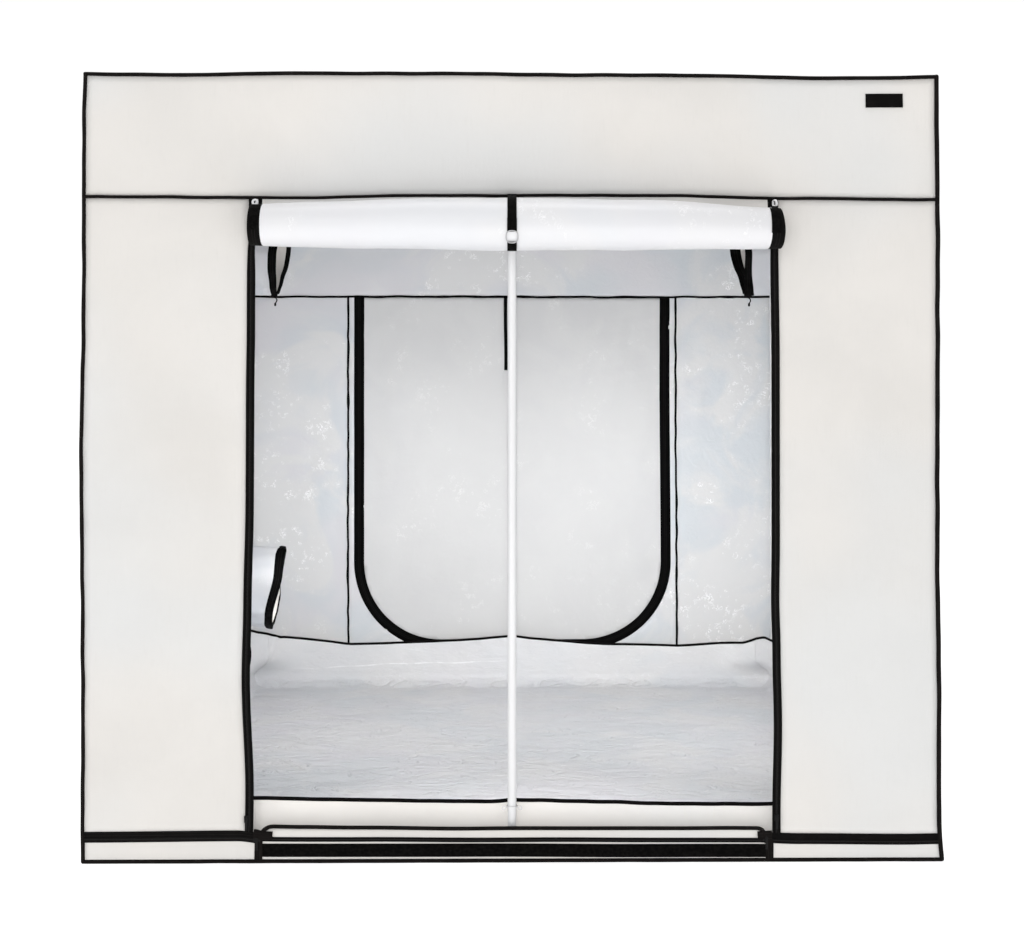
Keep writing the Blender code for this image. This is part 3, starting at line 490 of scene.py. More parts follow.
def swept(path, side, outline, sizes=None, round_path=False, finish=0, centre=0.0):
    """An outline of (sideways, outwards) numbers carried along a path. side is the sideways
    direction, and outwards is side crossed with the way along. sizes scales it at each point.
    centre is subtracted from the distance round the outline, so that stitching can run down
    the middle of its front."""
    path, outline = np.asarray(path, float), np.asarray(outline, float)
    if round_path:
        ahead = np.roll(path, -1, 0) - np.roll(path, 1, 0)
    else:
        ahead = np.gradient(path, axis=0)
    ahead /= np.linalg.norm(ahead, axis=1, keepdims=True)
    side = np.broadcast_to(np.asarray(side, float), path.shape)
    side = side - (side * ahead).sum(1, keepdims=True) * ahead
    side /= np.linalg.norm(side, axis=1, keepdims=True)
    out = np.cross(side, ahead)
    sizes = np.ones(len(path)) if sizes is None else np.asarray(sizes)
    section = outline[None, :, :] * sizes[:, None, None]
    points = path[:, None] + section[..., :1] * side[:, None] + section[..., 1:] * out[:, None]
    around = along(np.vstack([outline, outline[:1]]))[:-1] - centre
    return surface(points, along(path), around, round_path, True, finish)


def oval(wide, thick, sides=12, power=1.0):
    """Outline of an oval; a power under 1 squares it off."""
    turn = np.arange(sides) * TURN / sides
    c, s = np.cos(turn), np.sin(turn)
    return np.stack([wide * np.sign(c) * np.abs(c) ** power, thick * np.sign(s) * np.abs(s) ** power], -1)


def strip_outline(wide, thick, rounding=0.35):
    """Outline of flat tape with rounded edges: wide and thick are its whole sizes."""
    w, t = wide / 2, thick / 2
    r = min(t, w) * rounding * 2
    corners = []
    for cx, cy, start in ((w - r, t - r, 0), (r - w, t - r, 1), (r - w, r - t, 2), (w - r, r - t, 3)):
        turn = (start + np.linspace(0, 1, 4)) * math.pi / 2
        corners.append(np.stack([cx + r * np.cos(turn), cy + r * np.sin(turn)], -1))
    return np.concatenate(corners)


def round_ended(path, radius):
    """A path with both ends drawn out into a dome, and the sizes that go with it."""
    path = np.asarray(path, float)
    turn = np.linspace(0, math.pi / 2, 5)
    first, last = path[0] - path[1], path[-1] - path[-2]
    first, last = first / np.linalg.norm(first), last / np.linalg.norm(last)
    head = path[0] + first * radius * np.cos(turn)[:, None]
    tail = path[-1] + last * radius * np.sin(turn)[:, None]
    sizes = np.concatenate([np.maximum(np.sin(turn), 0.002), np.ones(len(path) - 2), np.maximum(np.cos(turn), 0.002)])
    return np.vstack([head, path[1:-1], tail]), sizes


def build(name, shapes, finishes, body, stands_for=(), thick=0.0, lined=False, weld=False):
    """An object from shapes. thick gives an open sheet its thickness, inwards from its front,
    and lined gives its back the finish that follows its own in the list."""
    shape = Shape.joined(shapes if isinstance(shapes, list) else [shapes])
    mesh = bpy.data.meshes.new(name)
    count = len(shape.quads)
    mesh.vertices.add(len(shape.points))
    mesh.vertices.foreach_set("co", shape.points.ravel())
    mesh.loops.add(4 * count)
    mesh.loops.foreach_set("vertex_index", shape.quads.ravel().astype(np.int32))
    mesh.polygons.add(count)
    mesh.polygons.foreach_set("loop_start", np.arange(count, dtype=np.int32) * 4)
    mesh.polygons.foreach_set("material_index", shape.finish.astype(np.int32))
    mesh.uv_layers.new(name="cloth").data.foreach_set("uv", shape.places.ravel())
    mesh.update(calc_edges=True)
    work = bmesh.new()
    work.from_mesh(mesh)
    loose = [v for v in work.verts if not v.link_faces]
    bmesh.ops.delete(work, geom=loose, context="VERTS")
    if weld:
        bmesh.ops.remove_doubles(work, verts=work.verts, dist=2e-6)
    if weld and not thick:
        bmesh.ops.recalc_face_normals(work, faces=work.faces)
    work.to_mesh(mesh)
    work.free()
    mesh.shade_smooth()
    mesh.set_sharp_from_angle(angle=math.radians(50))
    for finish in finishes:
        mesh.materials.append(finish)
    made = bpy.data.objects.new(name, mesh)
    bpy.context.collection.objects.link(made)
    if thick:
        wall = made.modifiers.new("thickness", "SOLIDIFY")
        wall.thickness = thick
        wall.offset = -1
        wall.material_offset = 1 if lined else 0
    if body:
        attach(made, body)
    if stands_for:
        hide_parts(*([stands_for] if isinstance(stands_for, str) else stands_for))
    return made


# Canopy panels

SIDES = {
    "front": ((1, 0, 0), (0, 0, 1), (0, -1, 0), FACE),
    "rear": ((-1, 0, 0), (0, 0, 1), (0, 1, 0), FACE),
    "left": ((0, -1, 0), (0, 0, 1), (-1, 0, 0), FACE),
    "right": ((0, 1, 0), (0, 0, 1), (1, 0, 0), FACE),
    "roof": ((1, 0, 0), (0, 1, 0), (0, 0, 1), ROOF),
    "floor": ((0, 1, 0), (1, 0, 0), (0, 0, -1), 0.0),
}


def on_side(side, u, v, proud=0.0):
    """Points on a side of the tent: u to the right as seen from outside, v up."""
    to_right, up, out, far = (np.array(d, float) if i < 3 else d for i, d in enumerate(SIDES[side]))
    proud = np.broadcast_to(np.asarray(proud, float), np.shape(u))
    return np.asarray(u)[..., None] * to_right + np.asarray(v)[..., None] * up + (far + proud)[..., None] * out


def cut_out(shape, u, v, inside, onto):
    """Drops the faces whose middle is inside and moves the points along the cut onto its line."""
    flat_u, flat_v = u.ravel(), v.ravel()
    gone = inside(flat_u[shape.quads].mean(1), flat_v[shape.quads].mean(1))
    touched = np.zeros((2, len(flat_u)), bool)
    touched[0, shape.quads[gone]] = True
    touched[1, shape.quads[~gone]] = True
    edge = touched[0] & touched[1]
    moved_u, moved_v = flat_u.copy(), flat_v.copy()
    moved_u[edge], moved_v[edge] = onto(flat_u[edge], flat_v[edge])
    return ~gone, moved_u, moved_v


def panel(side, u_range, v_range, step, proud, top=None, cut=None):
    """One flat piece of canopy with its waves. proud gives how far out each place stands, top an
    upper edge that depends on u, and cut the inside test and the line of an opening."""
    u_line = u_range if isinstance(u_range, np.ndarray) else steps(*u_range, step)
    u, share = np.meshgrid(u_line, steps(0, 1, step / (v_range[1] - v_range[0])), indexing="ij")
    high = np.full_like(u, v_range[1]) if top is None else top(u)
    v = v_range[0] + (high - v_range[0]) * share
    shape = surface(on_side(side, u, v), u_line, share[0])
    if cut:
        kept, flat_u, flat_v = cut_out(shape, u, v, *cut)
        u, v = flat_u.reshape(u.shape), flat_v.reshape(v.shape)
        shape.quads, shape.finish = shape.quads[kept], shape.finish[kept]
    shape.points = sway(on_side(side, u, v, proud(u, v))).reshape(-1, 3)
    shape.places = np.stack([u.ravel()[shape.quads], v.ravel()[shape.quads]], -1)
    return shape


def billow(side, u_range, v_range, deep, length, seed, lean=0.0):
    """How far a panel stands out: slow waves and finer creases that die away at its edges."""
    def proud(u, v):
        points = on_side(side, u, v)
        edge = np.minimum(np.minimum(u - u_range[0], u_range[1] - u), np.minimum(v - v_range[0], v_range[1] - v))
        waves = ripple(points, length, seed) + 0.35 * ripple(points, length / 3, seed + 50)
        fine = 0.16 * ripple(points, 0.11, seed + 90) * (0.4 + ripple(points, 0.7, seed + 91) ** 2)
        return (deep * (waves + fine) + lean) * fade(edge / 0.16)
    return proud


def canopy_panel(name, side, u_range, v_range, deep, length, seed, lean=0.0, step=0.025, **more):
    proud = more.pop("proud", None) or billow(side, u_range, v_range, deep, length, seed, lean)
    area = more.pop("area", None)
    body = more.pop("body", "tent")
    shape = panel(side, u_range, v_range, step, proud, **more)
    flap = body == "rear_door"
    made = build(name + "_cloth", shape, [canvas, flap_lining if flap else lining], None if flap else body, name,
                 CLOTH, True)
    if flap:
        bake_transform(made)


def round_hole(middle_u, middle_v, radius):
    def inside(u, v):
        return np.hypot(u - middle_u, v - middle_v) < radius

    def onto(u, v):
        away = np.hypot(u - middle_u, v - middle_v)
        return middle_u + (u - middle_u) * radius / away, middle_v + (v - middle_v) * radius / away
    return inside, onto


def either(*cuts):
    """Several openings as one."""
    def inside(u, v):
        return np.any([c[0](u, v) for c in cuts], axis=0)

    def onto(u, v):
        ways = [c[1](u, v) for c in cuts]
        far = np.array([np.hypot(w[0] - u, w[1] - v) for w in ways])
        nearest = far.argmin(0)
        return (np.choose(nearest, [w[0] for w in ways]), np.choose(nearest, [w[1] for w in ways]))
    return inside, onto


def letter_u(half, foot, radius):
    """The rear doorway: straight sides, round lower corners and no top."""
    def inside(u, v):
        low = v < foot + radius
        corner = np.hypot(np.maximum(np.abs(u) - (half - radius), 0), np.minimum(v - foot - radius, 0)) < radius
        return np.where(low, corner, np.abs(u) < half)

    def onto(u, v):
        side = np.where(u < 0, -1.0, 1.0)
        du, dv = np.abs(u) - (half - radius), v - (foot + radius)
        away = np.maximum(np.hypot(du, dv), 1e-6)
        in_corner = (du > 0) & (dv < 0)
        new_u = np.where(in_corner, side * (half - radius + du * radius / away), np.where(dv >= 0, side * half, u))
        new_v = np.where(in_corner, foot + radius + dv * radius / away, np.where(dv >= 0, v, foot))
        return new_u, new_v
    return inside, onto


def rear_waves(u, v):
    """How far the rear wall, its door and its zip stand out together."""
    points = on_side("rear", u, v)
    edge = np.minimum(np.minimum(TUCK - np.abs(u), v), TALL - v)
    near_post = fade((np.abs(u) - 0.03) / 0.25)
    waves = 0.0030 * ripple(points, 0.55, 71) + 0.0011 * ripple(points, 0.16, 72) \
        + 0.0009 * ripple(points, 0.07, 73) * (0.3 + crush(points, 0.9, 74))
    return (waves * (0.35 + 0.65 * near_post) + 0.0015) * fade(edge / 0.16)


def band_waves(u, v):
    """How far the band along the foot of the front stands out, with all that is sewn on it."""
    return 0.0009 * ripple(on_side("front", u, np.zeros_like(u)), 0.30, 31) * fade(v / 0.05)


def side_waves(side, heights):
    """How far a side wall stands out; it lies flat round its sleeves."""
    loose = billow(side, (-TUCK, TUCK), (0.004, ROOF), 0.0030, 0.6, 26 if side == "left" else 27, 0.001)
    middle = SLEEVE_Y if side == "right" else -SLEEVE_Y

    def proud(u, v):
        calm = np.ones_like(u)
        for z in heights:
            calm = calm * fade((np.hypot(u - middle, v - z) - 0.19) / 0.16)
        return loose(u, v) * calm
    return proud


WAVES = {"left": side_waves("left", SLEEVE_HEIGHTS["left"]),
         "right": side_waves("right", SLEEVE_HEIGHTS["right"]),
         "rear": rear_waves}


def canopy():
    full, low, high = (-TUCK, TUCK), 0.004, ROOF
    canopy_panel("front_header", "front", full, (SEAM_Z - 0.002, high), 0.0014, 0.75, 21, 0.001)
    beside = (LOWER_ZIP[1] - 0.003, SEAM_Z + 0.002)
    canopy_panel("front_panel_left", "front", (-TUCK, -JAMB_OUT + 0.004), beside, 0.0032, 0.62, 22)
    canopy_panel("front_panel_right", "front", (JAMB_OUT - 0.004, TUCK), beside, 0.0032, 0.62, 23)
    canopy_panel("roof_panel", "roof", full, full, 0.0018, 0.8, 24, -0.003)
    canopy_panel("floor_panel", "floor", full, full, 0.0, 1.0, 25, step=0.1)

    for name, side, sign in (("left_wall", "left", -1), ("right_wall", "right", 1)):
        heights = SLEEVE_HEIGHTS[side]
        holes = [round_hole(sign * SLEEVE_Y, z, SLEEVE_R - 0.001) for z in heights]
        area = (2 * TUCK) * (high - low) - len(heights) * math.pi * SLEEVE_R ** 2
        canopy_panel(name, side, full, (low, high), 0, 0, 0, proud=WAVES[side],
                     cut=either(*holes), area=area)

    half, foot, radius = REAR_OUT
    u_shape = (half - 0.004, foot + 0.004, radius - 0.004)
    cloth_hole = letter_u(*u_shape)

    def hole(u, v):
        return cloth_hole[0](u, v) & (v < REAR_SEAM_Z)

    def onto(u, v):
        new_u, new_v = cloth_hole[1](u, v)
        up = (v > REAR_SEAM_Z - 0.03) & (np.abs(u) < half - 0.02)
        return np.where(up, u, new_u), np.where(up, REAR_SEAM_Z, new_v)
    opening = 2 * half * (REAR_SEAM_Z - foot) - (4 - math.pi) / 2 * radius ** 2
    canopy_panel("rear_wall", "rear", (-TUCK, TUCK), (low, high), 0, 0, 0, step=0.020, proud=rear_waves,
                 cut=(hole, onto), area=2 * TUCK * (high - low) - opening)

    half, foot, radius = REAR_IN
    door = letter_u(half + 0.004, foot - 0.004, radius + 0.004)

    def outside(u, v):
        return ~door[0](u, v)
    area = 2 * half * (REAR_SEAM_Z - foot) - (4 - math.pi) / 2 * radius ** 2
    canopy_panel("rear_door_flap", "rear", (-half - 0.03, half + 0.03), (foot - 0.03, REAR_SEAM_Z - 0.001), 0, 0, 0,
                 step=0.018, proud=rear_waves, cut=(outside, door[1]), area=area, body="rear_door")


def base_band():
    """Cream band along the foot of the front, which rises into the round-cornered sill."""
    def top(u):
        beside = np.abs(u)
        corner = np.clip(beside - (SILL_HALF - SILL_ROUND), 0, SILL_ROUND)
        sill = SILL_TOP - SILL_ROUND + np.sqrt(np.maximum(SILL_ROUND ** 2 - corner ** 2, 0))
        return np.where(beside <= SILL_HALF, sill, LOWER_ZIP[0] + 0.003)
    rise = np.array([SILL_HALF - SILL_ROUND * (1 - math.sin(a)) for a in np.linspace(0, math.pi / 2, 7)])
    right = np.concatenate([steps(0, SILL_HALF - SILL_ROUND, 0.02)[:-1], rise, [SILL_HALF + 0.0005],
                            steps(SILL_HALF + 0.01, TUCK, 0.02)])
    u_line = np.concatenate([-right[:0:-1], right])

    shape = panel("front", u_line, (0.004, SILL_TOP), 0.012, band_waves, top=top)
    made = build("front_base_band_cloth", shape, [canvas, lining], "tent", "front_base_band", CLOTH, True)


# Bindings

def bound_edge(start, end, step=0.02, radius=BINDING_R, wander=0.0006, seed=40, squash=1.0):
    """Folded tape along one edge: a rounded square carried along a line that wanders a little."""
    start, end = np.array(start, float), np.array(end, float)
    share = steps(0, 1, step / np.linalg.norm(end - start))[:, None]
    path = sway(start + (end - start) * share)
    path = path + wander * np.stack([ripple(path, 0.12, seed + k) for k in range(3)], -1)
    path[:, 2] = np.maximum(path[:, 2], radius)
    path, sizes = round_ended(path, radius)
    level = abs((end - start)[2]) < 0.1
    side = (0, 0, 1) if level else (1, 0, 0)
    return swept(path, side, oval(radius, radius * squash, 12, 0.75), sizes, centre=radius * 2.2)


def edge_binding():
    """Tape along the twelve edges of the box and along the seam above the doorway."""
    near, far = BINDING_R - HALF, HALF - BINDING_R
    low, high = BINDING_R, TALL - BINDING_R
    shapes = []
    for k, (a, b) in enumerate(((near, low), (near, high), (far, low), (far, high))):
        shapes.append(bound_edge((near, a, b), (far, a, b), seed=100 + 3 * k, wander=0.0002 if b == low else 0.0006))
        shapes.append(bound_edge((a, near, b), (a, far, b), seed=120 + 3 * k))
    for k, (a, b) in enumerate(((near, near), (near, far), (far, near), (far, far))):
        shapes.append(bound_edge((a, b, low), (a, b, high), seed=140 + 3 * k, radius=BINDING_R + 0.0009 * (a > 0)))
    front = 0.0022 - HALF
    shapes.append(bound_edge((near, front, SEAM_Z), (far, front, SEAM_Z), seed=160, radius=0.0044, squash=0.9))
    build("edge_binding", shapes, [binding], "tent", "edge_piping", weld=True)


def cloth_line(side, route, radius, seed, wander=0.0012, proud=0.0, step=0.02):
    """A thin corded seam on a panel. route is a list of (u, v) corners joined by straight runs."""
    route = np.array(route, float)
    far = along(np.column_stack([route, np.zeros(len(route))]))
    at = steps(0, far[-1], step)
    u, v = np.interp(at, far, route[:, 0]), np.interp(at, far, route[:, 1])
    stand = WAVES[side](u, v) + proud
    path = sway(on_side(side, u, v, stand))
    across = wander * ripple(path, 0.10, seed)
    level = abs(route[-1, 1] - route[0, 1]) < 0.2
    path = path + across[:, None] * np.array([0, 0, 1.0] if level else [1.0, 0, 0])
    path, sizes = round_ended(path, radius)
    side_way = np.array(SIDES[side][2], float)
    return swept(path, side_way, oval(radius, radius, 8), sizes, centre=0)


def seams():
    """Corded seams on the rear wall, inside and out: one across above the door and one down
    each side of it, with a whitish welt between each and the zip. The side walls have one too."""
    inside = -(CLOTH + 0.0016)
    shapes = []
    for proud, seed in ((inside, 201), (0.0006, 211)):
        shapes.append(cloth_line("rear", [(-TUCK, REAR_SEAM_Z), (TUCK, REAR_SEAM_Z)], 0.0046, seed, 0.0018, proud))
        for sign in (-1, 1):
            run = [(sign * SIDE_SEAM_X, REAR_SEAM_Z), (sign * SIDE_SEAM_X, 0.03)]
            shapes.append(cloth_line("rear", run, 0.0046, seed + 3 + sign, 0.0018, proud))
    for side in ("left", "right"):
        for proud in (inside, 0.0006):
            run = [(-TUCK, REAR_SEAM_Z + 0.30), (TUCK, REAR_SEAM_Z + 0.30)]
            shapes.append(cloth_line(side, run, 0.0030, 221, 0.001, proud))
    build("corded_seams", shapes, [inner_tape], "tent", weld=True)

    welts = []
    for sign in (-1, 1):
        v = steps(0.03, REAR_SEAM_Z - 0.004, 0.02)
        u = np.full_like(v, sign * (SIDE_SEAM_X + REAR_OUT[0]) / 2)
        path = sway(on_side("rear", u, v, rear_waves(u, v) - CLOTH - 0.0008))
        welts.append(swept(path, (1, 0, 0), strip_outline(0.022, 0.0016), centre=0.011))
    build("rear_door_welts", welts, [lining], "tent", weld=True)


# Zips

TOOTH = 0.0028


def coil_along(path, side, radius=0.0021, finish=1):
    """The zip's coil: a cord whose thickness beats once for each tooth."""
    path = np.asarray(path, float)
    side = np.broadcast_to(np.asarray(side, float), path.shape)
    far = along(path)
    at = np.arange(0, far[-1], TOOTH / 2)
    fine, ways = (np.stack([np.interp(at, far, line[:, k]) for k in range(3)], -1) for line in (path, side))
    beat = np.where(np.arange(len(at)) % 2, 1.0, 0.72)
    beat[[0, -1]] = 0.02
    return swept(fine, ways, oval(radius * 1.25, radius, 8), beat, finish=finish)


def stitched_strip(path, side, wide, thick, finish=0, sizes=None):
    """Flat tape along a path: a rounded oblong carried along it, whose first and last rings are
    repeated shrunk to their middles, which closes the ends."""
    outline = strip_outline(wide, thick)
    rings = swept(path, side, outline, sizes).points.reshape(-1, len(outline), 3)
    first, last = (ring.mean(0) + (ring - ring.mean(0)) * 0.001 for ring in (rings[0], rings[-1]))
    far = along(np.asarray(path))
    around = along(np.vstack([outline, outline[:1]]))[:-1] - wide / 2
    points = np.concatenate([first[None], rings, last[None]])
    return surface(points, np.concatenate([[0], far, far[-1:]]), around, False, True, finish)


def front_line(route, proud, step=0.02):
    """Points along straight runs on the front, at the places where the hung cloth has them."""
    route = np.array(route, float)
    far = along(np.column_stack([route, np.zeros(len(route))]))
    at = steps(0, far[-1], step)
    u, v = np.interp(at, far, route[:, 0]), np.interp(at, far, route[:, 1])
    return sway(on_side("front", u, v, proud + band_waves(u, v) * (v < SILL_TOP + 0.01)))


def front_zips():
    """Half a zip beside each jamb and a whole one along the foot of each front panel."""
    for sign, name in ((-1, "left"), (1, "right")):
        middle = sign * (JAMB_IN + JAMB_OUT) / 2
        top = SEAM_Z - 0.004
        tape = front_line([(middle, LOWER_ZIP[1] - 0.002), (middle, top)], 0.0002)
        edge = front_line([(sign * (JAMB_OUT - 0.0035), LOWER_ZIP[1] - 0.002), (sign * (JAMB_OUT - 0.0035), 1.60),
                           (sign * (JAMB_OUT - 0.0060), top)], 0.0008)
        teeth = front_line([(middle, LOWER_ZIP[1]), (middle, top)], 0.0016)
        sizes = eased(tape[:, 2], ((0, 0.98), (1.64, 0.98), (1.74, 0.76 if sign < 0 else 0.92), (2.2, 0.76)))
        shapes = [stitched_strip(tape, (1, 0, 0), JAMB_OUT - JAMB_IN + 0.002, 0.0016, 0, sizes),
                  stitched_strip(edge, (1, 0, 0), 0.007, 0.0030), coil_along(teeth, (1, 0, 0))]
        build(f"jamb_zip_{name}_tape", shapes, [zip_tape, coil], "tent", f"jamb_zip_{name}", weld=True)

        low, high = LOWER_ZIP
        start, end = sign * (SILL_HALF + 0.004), sign * TUCK
        upper = front_line([(start, high - 0.0065), (end, high - 0.0065)], 0.0006)
        lower = front_line([(start, low + 0.0075), (end, low + 0.0075)], 0.0002)
        teeth = front_line([(start, low + 0.0085), (end, low + 0.0085)], 0.0014)
        shapes = [stitched_strip(upper, (0, 0, 1), 0.0155, 0.0030), stitched_strip(lower, (0, 0, 1), 0.0165, 0.0018),
                  coil_along(teeth, (0, 0, 1), 0.0018)]
        build(f"lower_zip_{name}_tape", shapes, [zip_tape, coil], "tent", f"lower_zip_{name}", weld=True)


def u_path(half, foot, radius, top, step=0.018):
    """(u, v) points down one side of a letter U, round and up the other."""
    down = steps(top, foot + radius, step)
    turn = steps(math.pi, 1.5 * math.pi, step / radius)
    across = steps(radius - half, half - radius, step)
    left = np.column_stack([np.full_like(down, -half), down])
    bend = np.column_stack([radius - half + radius * np.cos(turn), foot + radius + radius * np.sin(turn)])
    bottom = np.column_stack([across, np.full_like(across, foot)])
    right = np.vstack([left, bend[1:]])[::-1] * (-1, 1)
    return np.vstack([left, bend[1:], bottom[1:-1], right])


def rear_zip():
    """The rear door's zip: broad tape in a U on both faces of the wall, with its coil outside."""
    half, foot, radius = (a / 2 + b / 2 for a, b in zip(REAR_OUT, REAR_IN))
    route = u_path(half, foot, radius, REAR_SEAM_Z - 0.003)
    u, v = route.T
    wide = REAR_OUT[0] - REAR_IN[0] + 0.007
    shapes = []
    ahead = np.gradient(route, axis=0)
    ahead /= np.linalg.norm(ahead, axis=1, keepdims=True)
    across = np.column_stack([-ahead[:, 1], ahead[:, 0]])
    side = on_side("rear", across[:, 0], across[:, 1]) - on_side("rear", np.zeros(len(u)), np.zeros(len(u)))
    for proud, thick in ((0.0004, 0.0018), (-CLOTH - 0.0004, 0.0018)):
        path = sway(on_side("rear", u, v, rear_waves(u, v) + proud))
        shapes.append(stitched_strip(path, side, wide, thick))
    path = sway(on_side("rear", u, v, rear_waves(u, v) + 0.0022))
    shapes.append(coil_along(path, side, 0.0024))
    build("rear_door_zip_tape", shapes, [inner_tape, coil], "tent", "rear_door_zip", weld=True)


def sill_trim():
    """What runs along the foot of the doorway: the sill's corded top with its round ends, a
    narrow zip, a broad strip of webbing, and an upright tape and a folded stop at each end."""
    turn = np.linspace(math.pi, math.pi / 2, 9)
    left = np.column_stack([-0.669 + 0.0315 * np.cos(turn), 0.0815 + 0.0145 * np.sin(turn)])
    right = np.column_stack([0.683 - 0.0200 * np.cos(turn), 0.0790 + 0.0150 * np.sin(turn)])[::-1]
    route = np.vstack([[(-0.7005, 0.0740)], left, right, [(0.7030, 0.0720)]])
    far = along(np.column_stack([route, np.zeros(len(route))]))
    at = steps(0, far[-1], 0.006)
    u, v = np.interp(at, far, route[:, 0]), np.interp(at, far, route[:, 1])
    path = sway(on_side("front", u, v, 0.0015 + band_waves(u, v)))
    rise = ((-0.70, 0.0040), (-0.677, 0.0066), (-0.59, 0.0052), (-0.437, 0.0026), (-0.1, 0), (0.7, 0))
    path[:, 2] += 0.0006 * ripple(path, 0.35, 301) * fade((0.68 - np.abs(u)) / 0.1) + eased(u, rise)
    path, sizes = round_ended(path, 0.0055)
    build("sill_cord", swept(path, (0, -1, 0), oval(0.0048, 0.0056, 12), sizes), [binding], "tent", weld=True)

    level = front_line([(-0.700, 0.0685), (-0.45, 0.0655), (0.0, 0.0640), (0.710, 0.0602)], 0.0008)
    level[:, 2] += 0.0008 * ripple(level, 0.4, 302)
    teeth = level + (0, -0.0016, 0.0004)
    build("sill_zip", [stitched_strip(level, (0, 0, 1), 0.0126, 0.0022), coil_along(teeth, (0, 0, 1), 0.0017)],
          [zip_tape, coil], "tent", weld=True)

    level = front_line([(-0.704, 0.0364), (-0.2, 0.0345), (0.712, 0.0318)], 0.0010)
    level[:, 2] += 0.0006 * ripple(level, 0.5, 303)
    build("sill_webbing", stitched_strip(level, (0, 0, 1), 0.0366, 0.0022), [webbing], "tent", weld=True)

    ends = []
    for upright_x, inner, outer, middle in ((-0.7105, -0.6725, -0.7250, 0.0790), (0.7184, 0.6850, 0.7250, 0.0757)):
        upright = front_line([(upright_x, 0.004), (upright_x, 0.062)], 0.0018, 0.006)
        ends.append(stitched_strip(upright, (1, 0, 0), 0.0222, 0.0024))
        fold = front_line([(outer, middle + 0.0015), (inner, middle - 0.002)], 0.0028, 0.004)
        ends.append(stitched_strip(fold, (0, 0, 1), 0.0225, 0.0060))
        under = front_line([(outer, middle - 0.006), ((inner + outer) / 2, middle - 0.007)], 0.0034, 0.004)
        ends.append(stitched_strip(under, (0, 0, 1), 0.0150, 0.0060))
    build("sill_end_tapes", ends, [binding], "tent", weld=True)


# Rolled door

def roll_radius(share):
    return ROLL_END_R + (ROLL_MIDDLE_R - ROLL_END_R) * (1 - (2 * share - 1) ** 2)


def roll_z(share):
    """Height of the roll's middle line: it hangs a little in its straps, lowest at the right."""
    return ROLL_Z + eased(share, ((0, -0.0085), (0.5, -0.0065), (0.75, -0.009), (1, -0.0165)))


def wound(share, turns):
    """(y, z) of the roll's outer face: a spiral in, from the back and down under the roll."""
    outer = roll_radius(share)
    radius = outer + (ROLL_CORE_R - outer) * turns / ROLL_TURNS
    turn = TURN * turns
    return -(HALF + ROLL_STANDOFF + outer) + radius * np.cos(turn), roll_z(share) - radius * np.sin(turn)


def rolled_door():
    """The spiral carried along X. Both ends of each turn wander, the loose outer turn is crushed
    a little, and the last 33 mm at each end is the zip's tape."""
    tape = ROLL_TAPE / ROLL_LENGTH
    ends = np.array([0, 0.25, 0.5, 0.75, 0.995]) * tape
    share = np.concatenate([ends, np.linspace(tape, 1 - tape, 110), 1 - ends[::-1]])
    turns = np.linspace(0, ROLL_TURNS, round(ROLL_TURNS * 44) + 1)
    s, t = np.meshgrid(share, turns, indexing="ij")
    y, z = wound(s, t)
    past = (2 * s - 1)
    cone = 0.007 * t / ROLL_TURNS * past
    ragged = 0.0028 * np.sin(TURN * t * 0.31 + 1.1) * past ** 9 + 0.0020 * np.sin(TURN * t * 0.83) * past ** 9
    bulge = 0.005 * np.clip(past, 0, None) ** 9 * np.exp(-((t - 0.45) / 0.17) ** 2)
    slip = 0.011 * np.exp(-((s - 1 + tape) / 0.014) ** 2 - ((t - 0.74) / 0.11) ** 2)
    x = ROLL_SHIFT - ROLL_LENGTH / 2 + ROLL_LENGTH * s + cone + ragged + bulge + slip
    points = np.stack([x, y, z], -1)
    middle_y = -(HALF + ROLL_STANDOFF + roll_radius(s))
    out = np.stack([np.zeros_like(y), y - middle_y, z - roll_z(s)], -1)
    out /= np.linalg.norm(out, axis=-1, keepdims=True)
    lift = 0.0011 * ripple(points, 0.22, 401) + 0.0005 * ripple(points * (0.5, 1, 1), 0.06, 402) \
        - 0.0009 * crush(points * (0.6, 1, 1), 0.20, 403) * (1 - fade(t / 1.3))
    calm = fade((0.5 - np.abs(s - 0.5)) / 0.03) * 0.8 + 0.2
    held = 1 - 0.8 * np.exp(-((x / 0.03) ** 2))
    points = points + out * (lift * calm * held + 0.0010)[..., None]
    cloth = along(points[len(share) // 2])
    cloth *= np.linalg.norm(np.diff(points, axis=1), axis=2).sum(1).mean() / cloth[-1]
    shape = surface(points, share * ROLL_LENGTH, cloth)
    middles = shape.places[:, :, 0].mean(1)
    shape.finish = np.where((middles < ROLL_TAPE) | (middles > ROLL_LENGTH - ROLL_TAPE), 2, 0)
    from_edge = np.minimum(shape.places[..., 0], ROLL_LENGTH - shape.places[..., 0])
    tape_places = np.stack([shape.places[..., 1], from_edge - ROLL_TAPE / 2], -1)
    shape.places = np.where((shape.finish == 2)[:, None, None], tape_places, shape.places)
    made = build("rolled_door", shape, [door_lining, canvas, zip_tape, zip_tape], "door_roll", "door_roll",
                 0.0016, True)
    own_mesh(made)


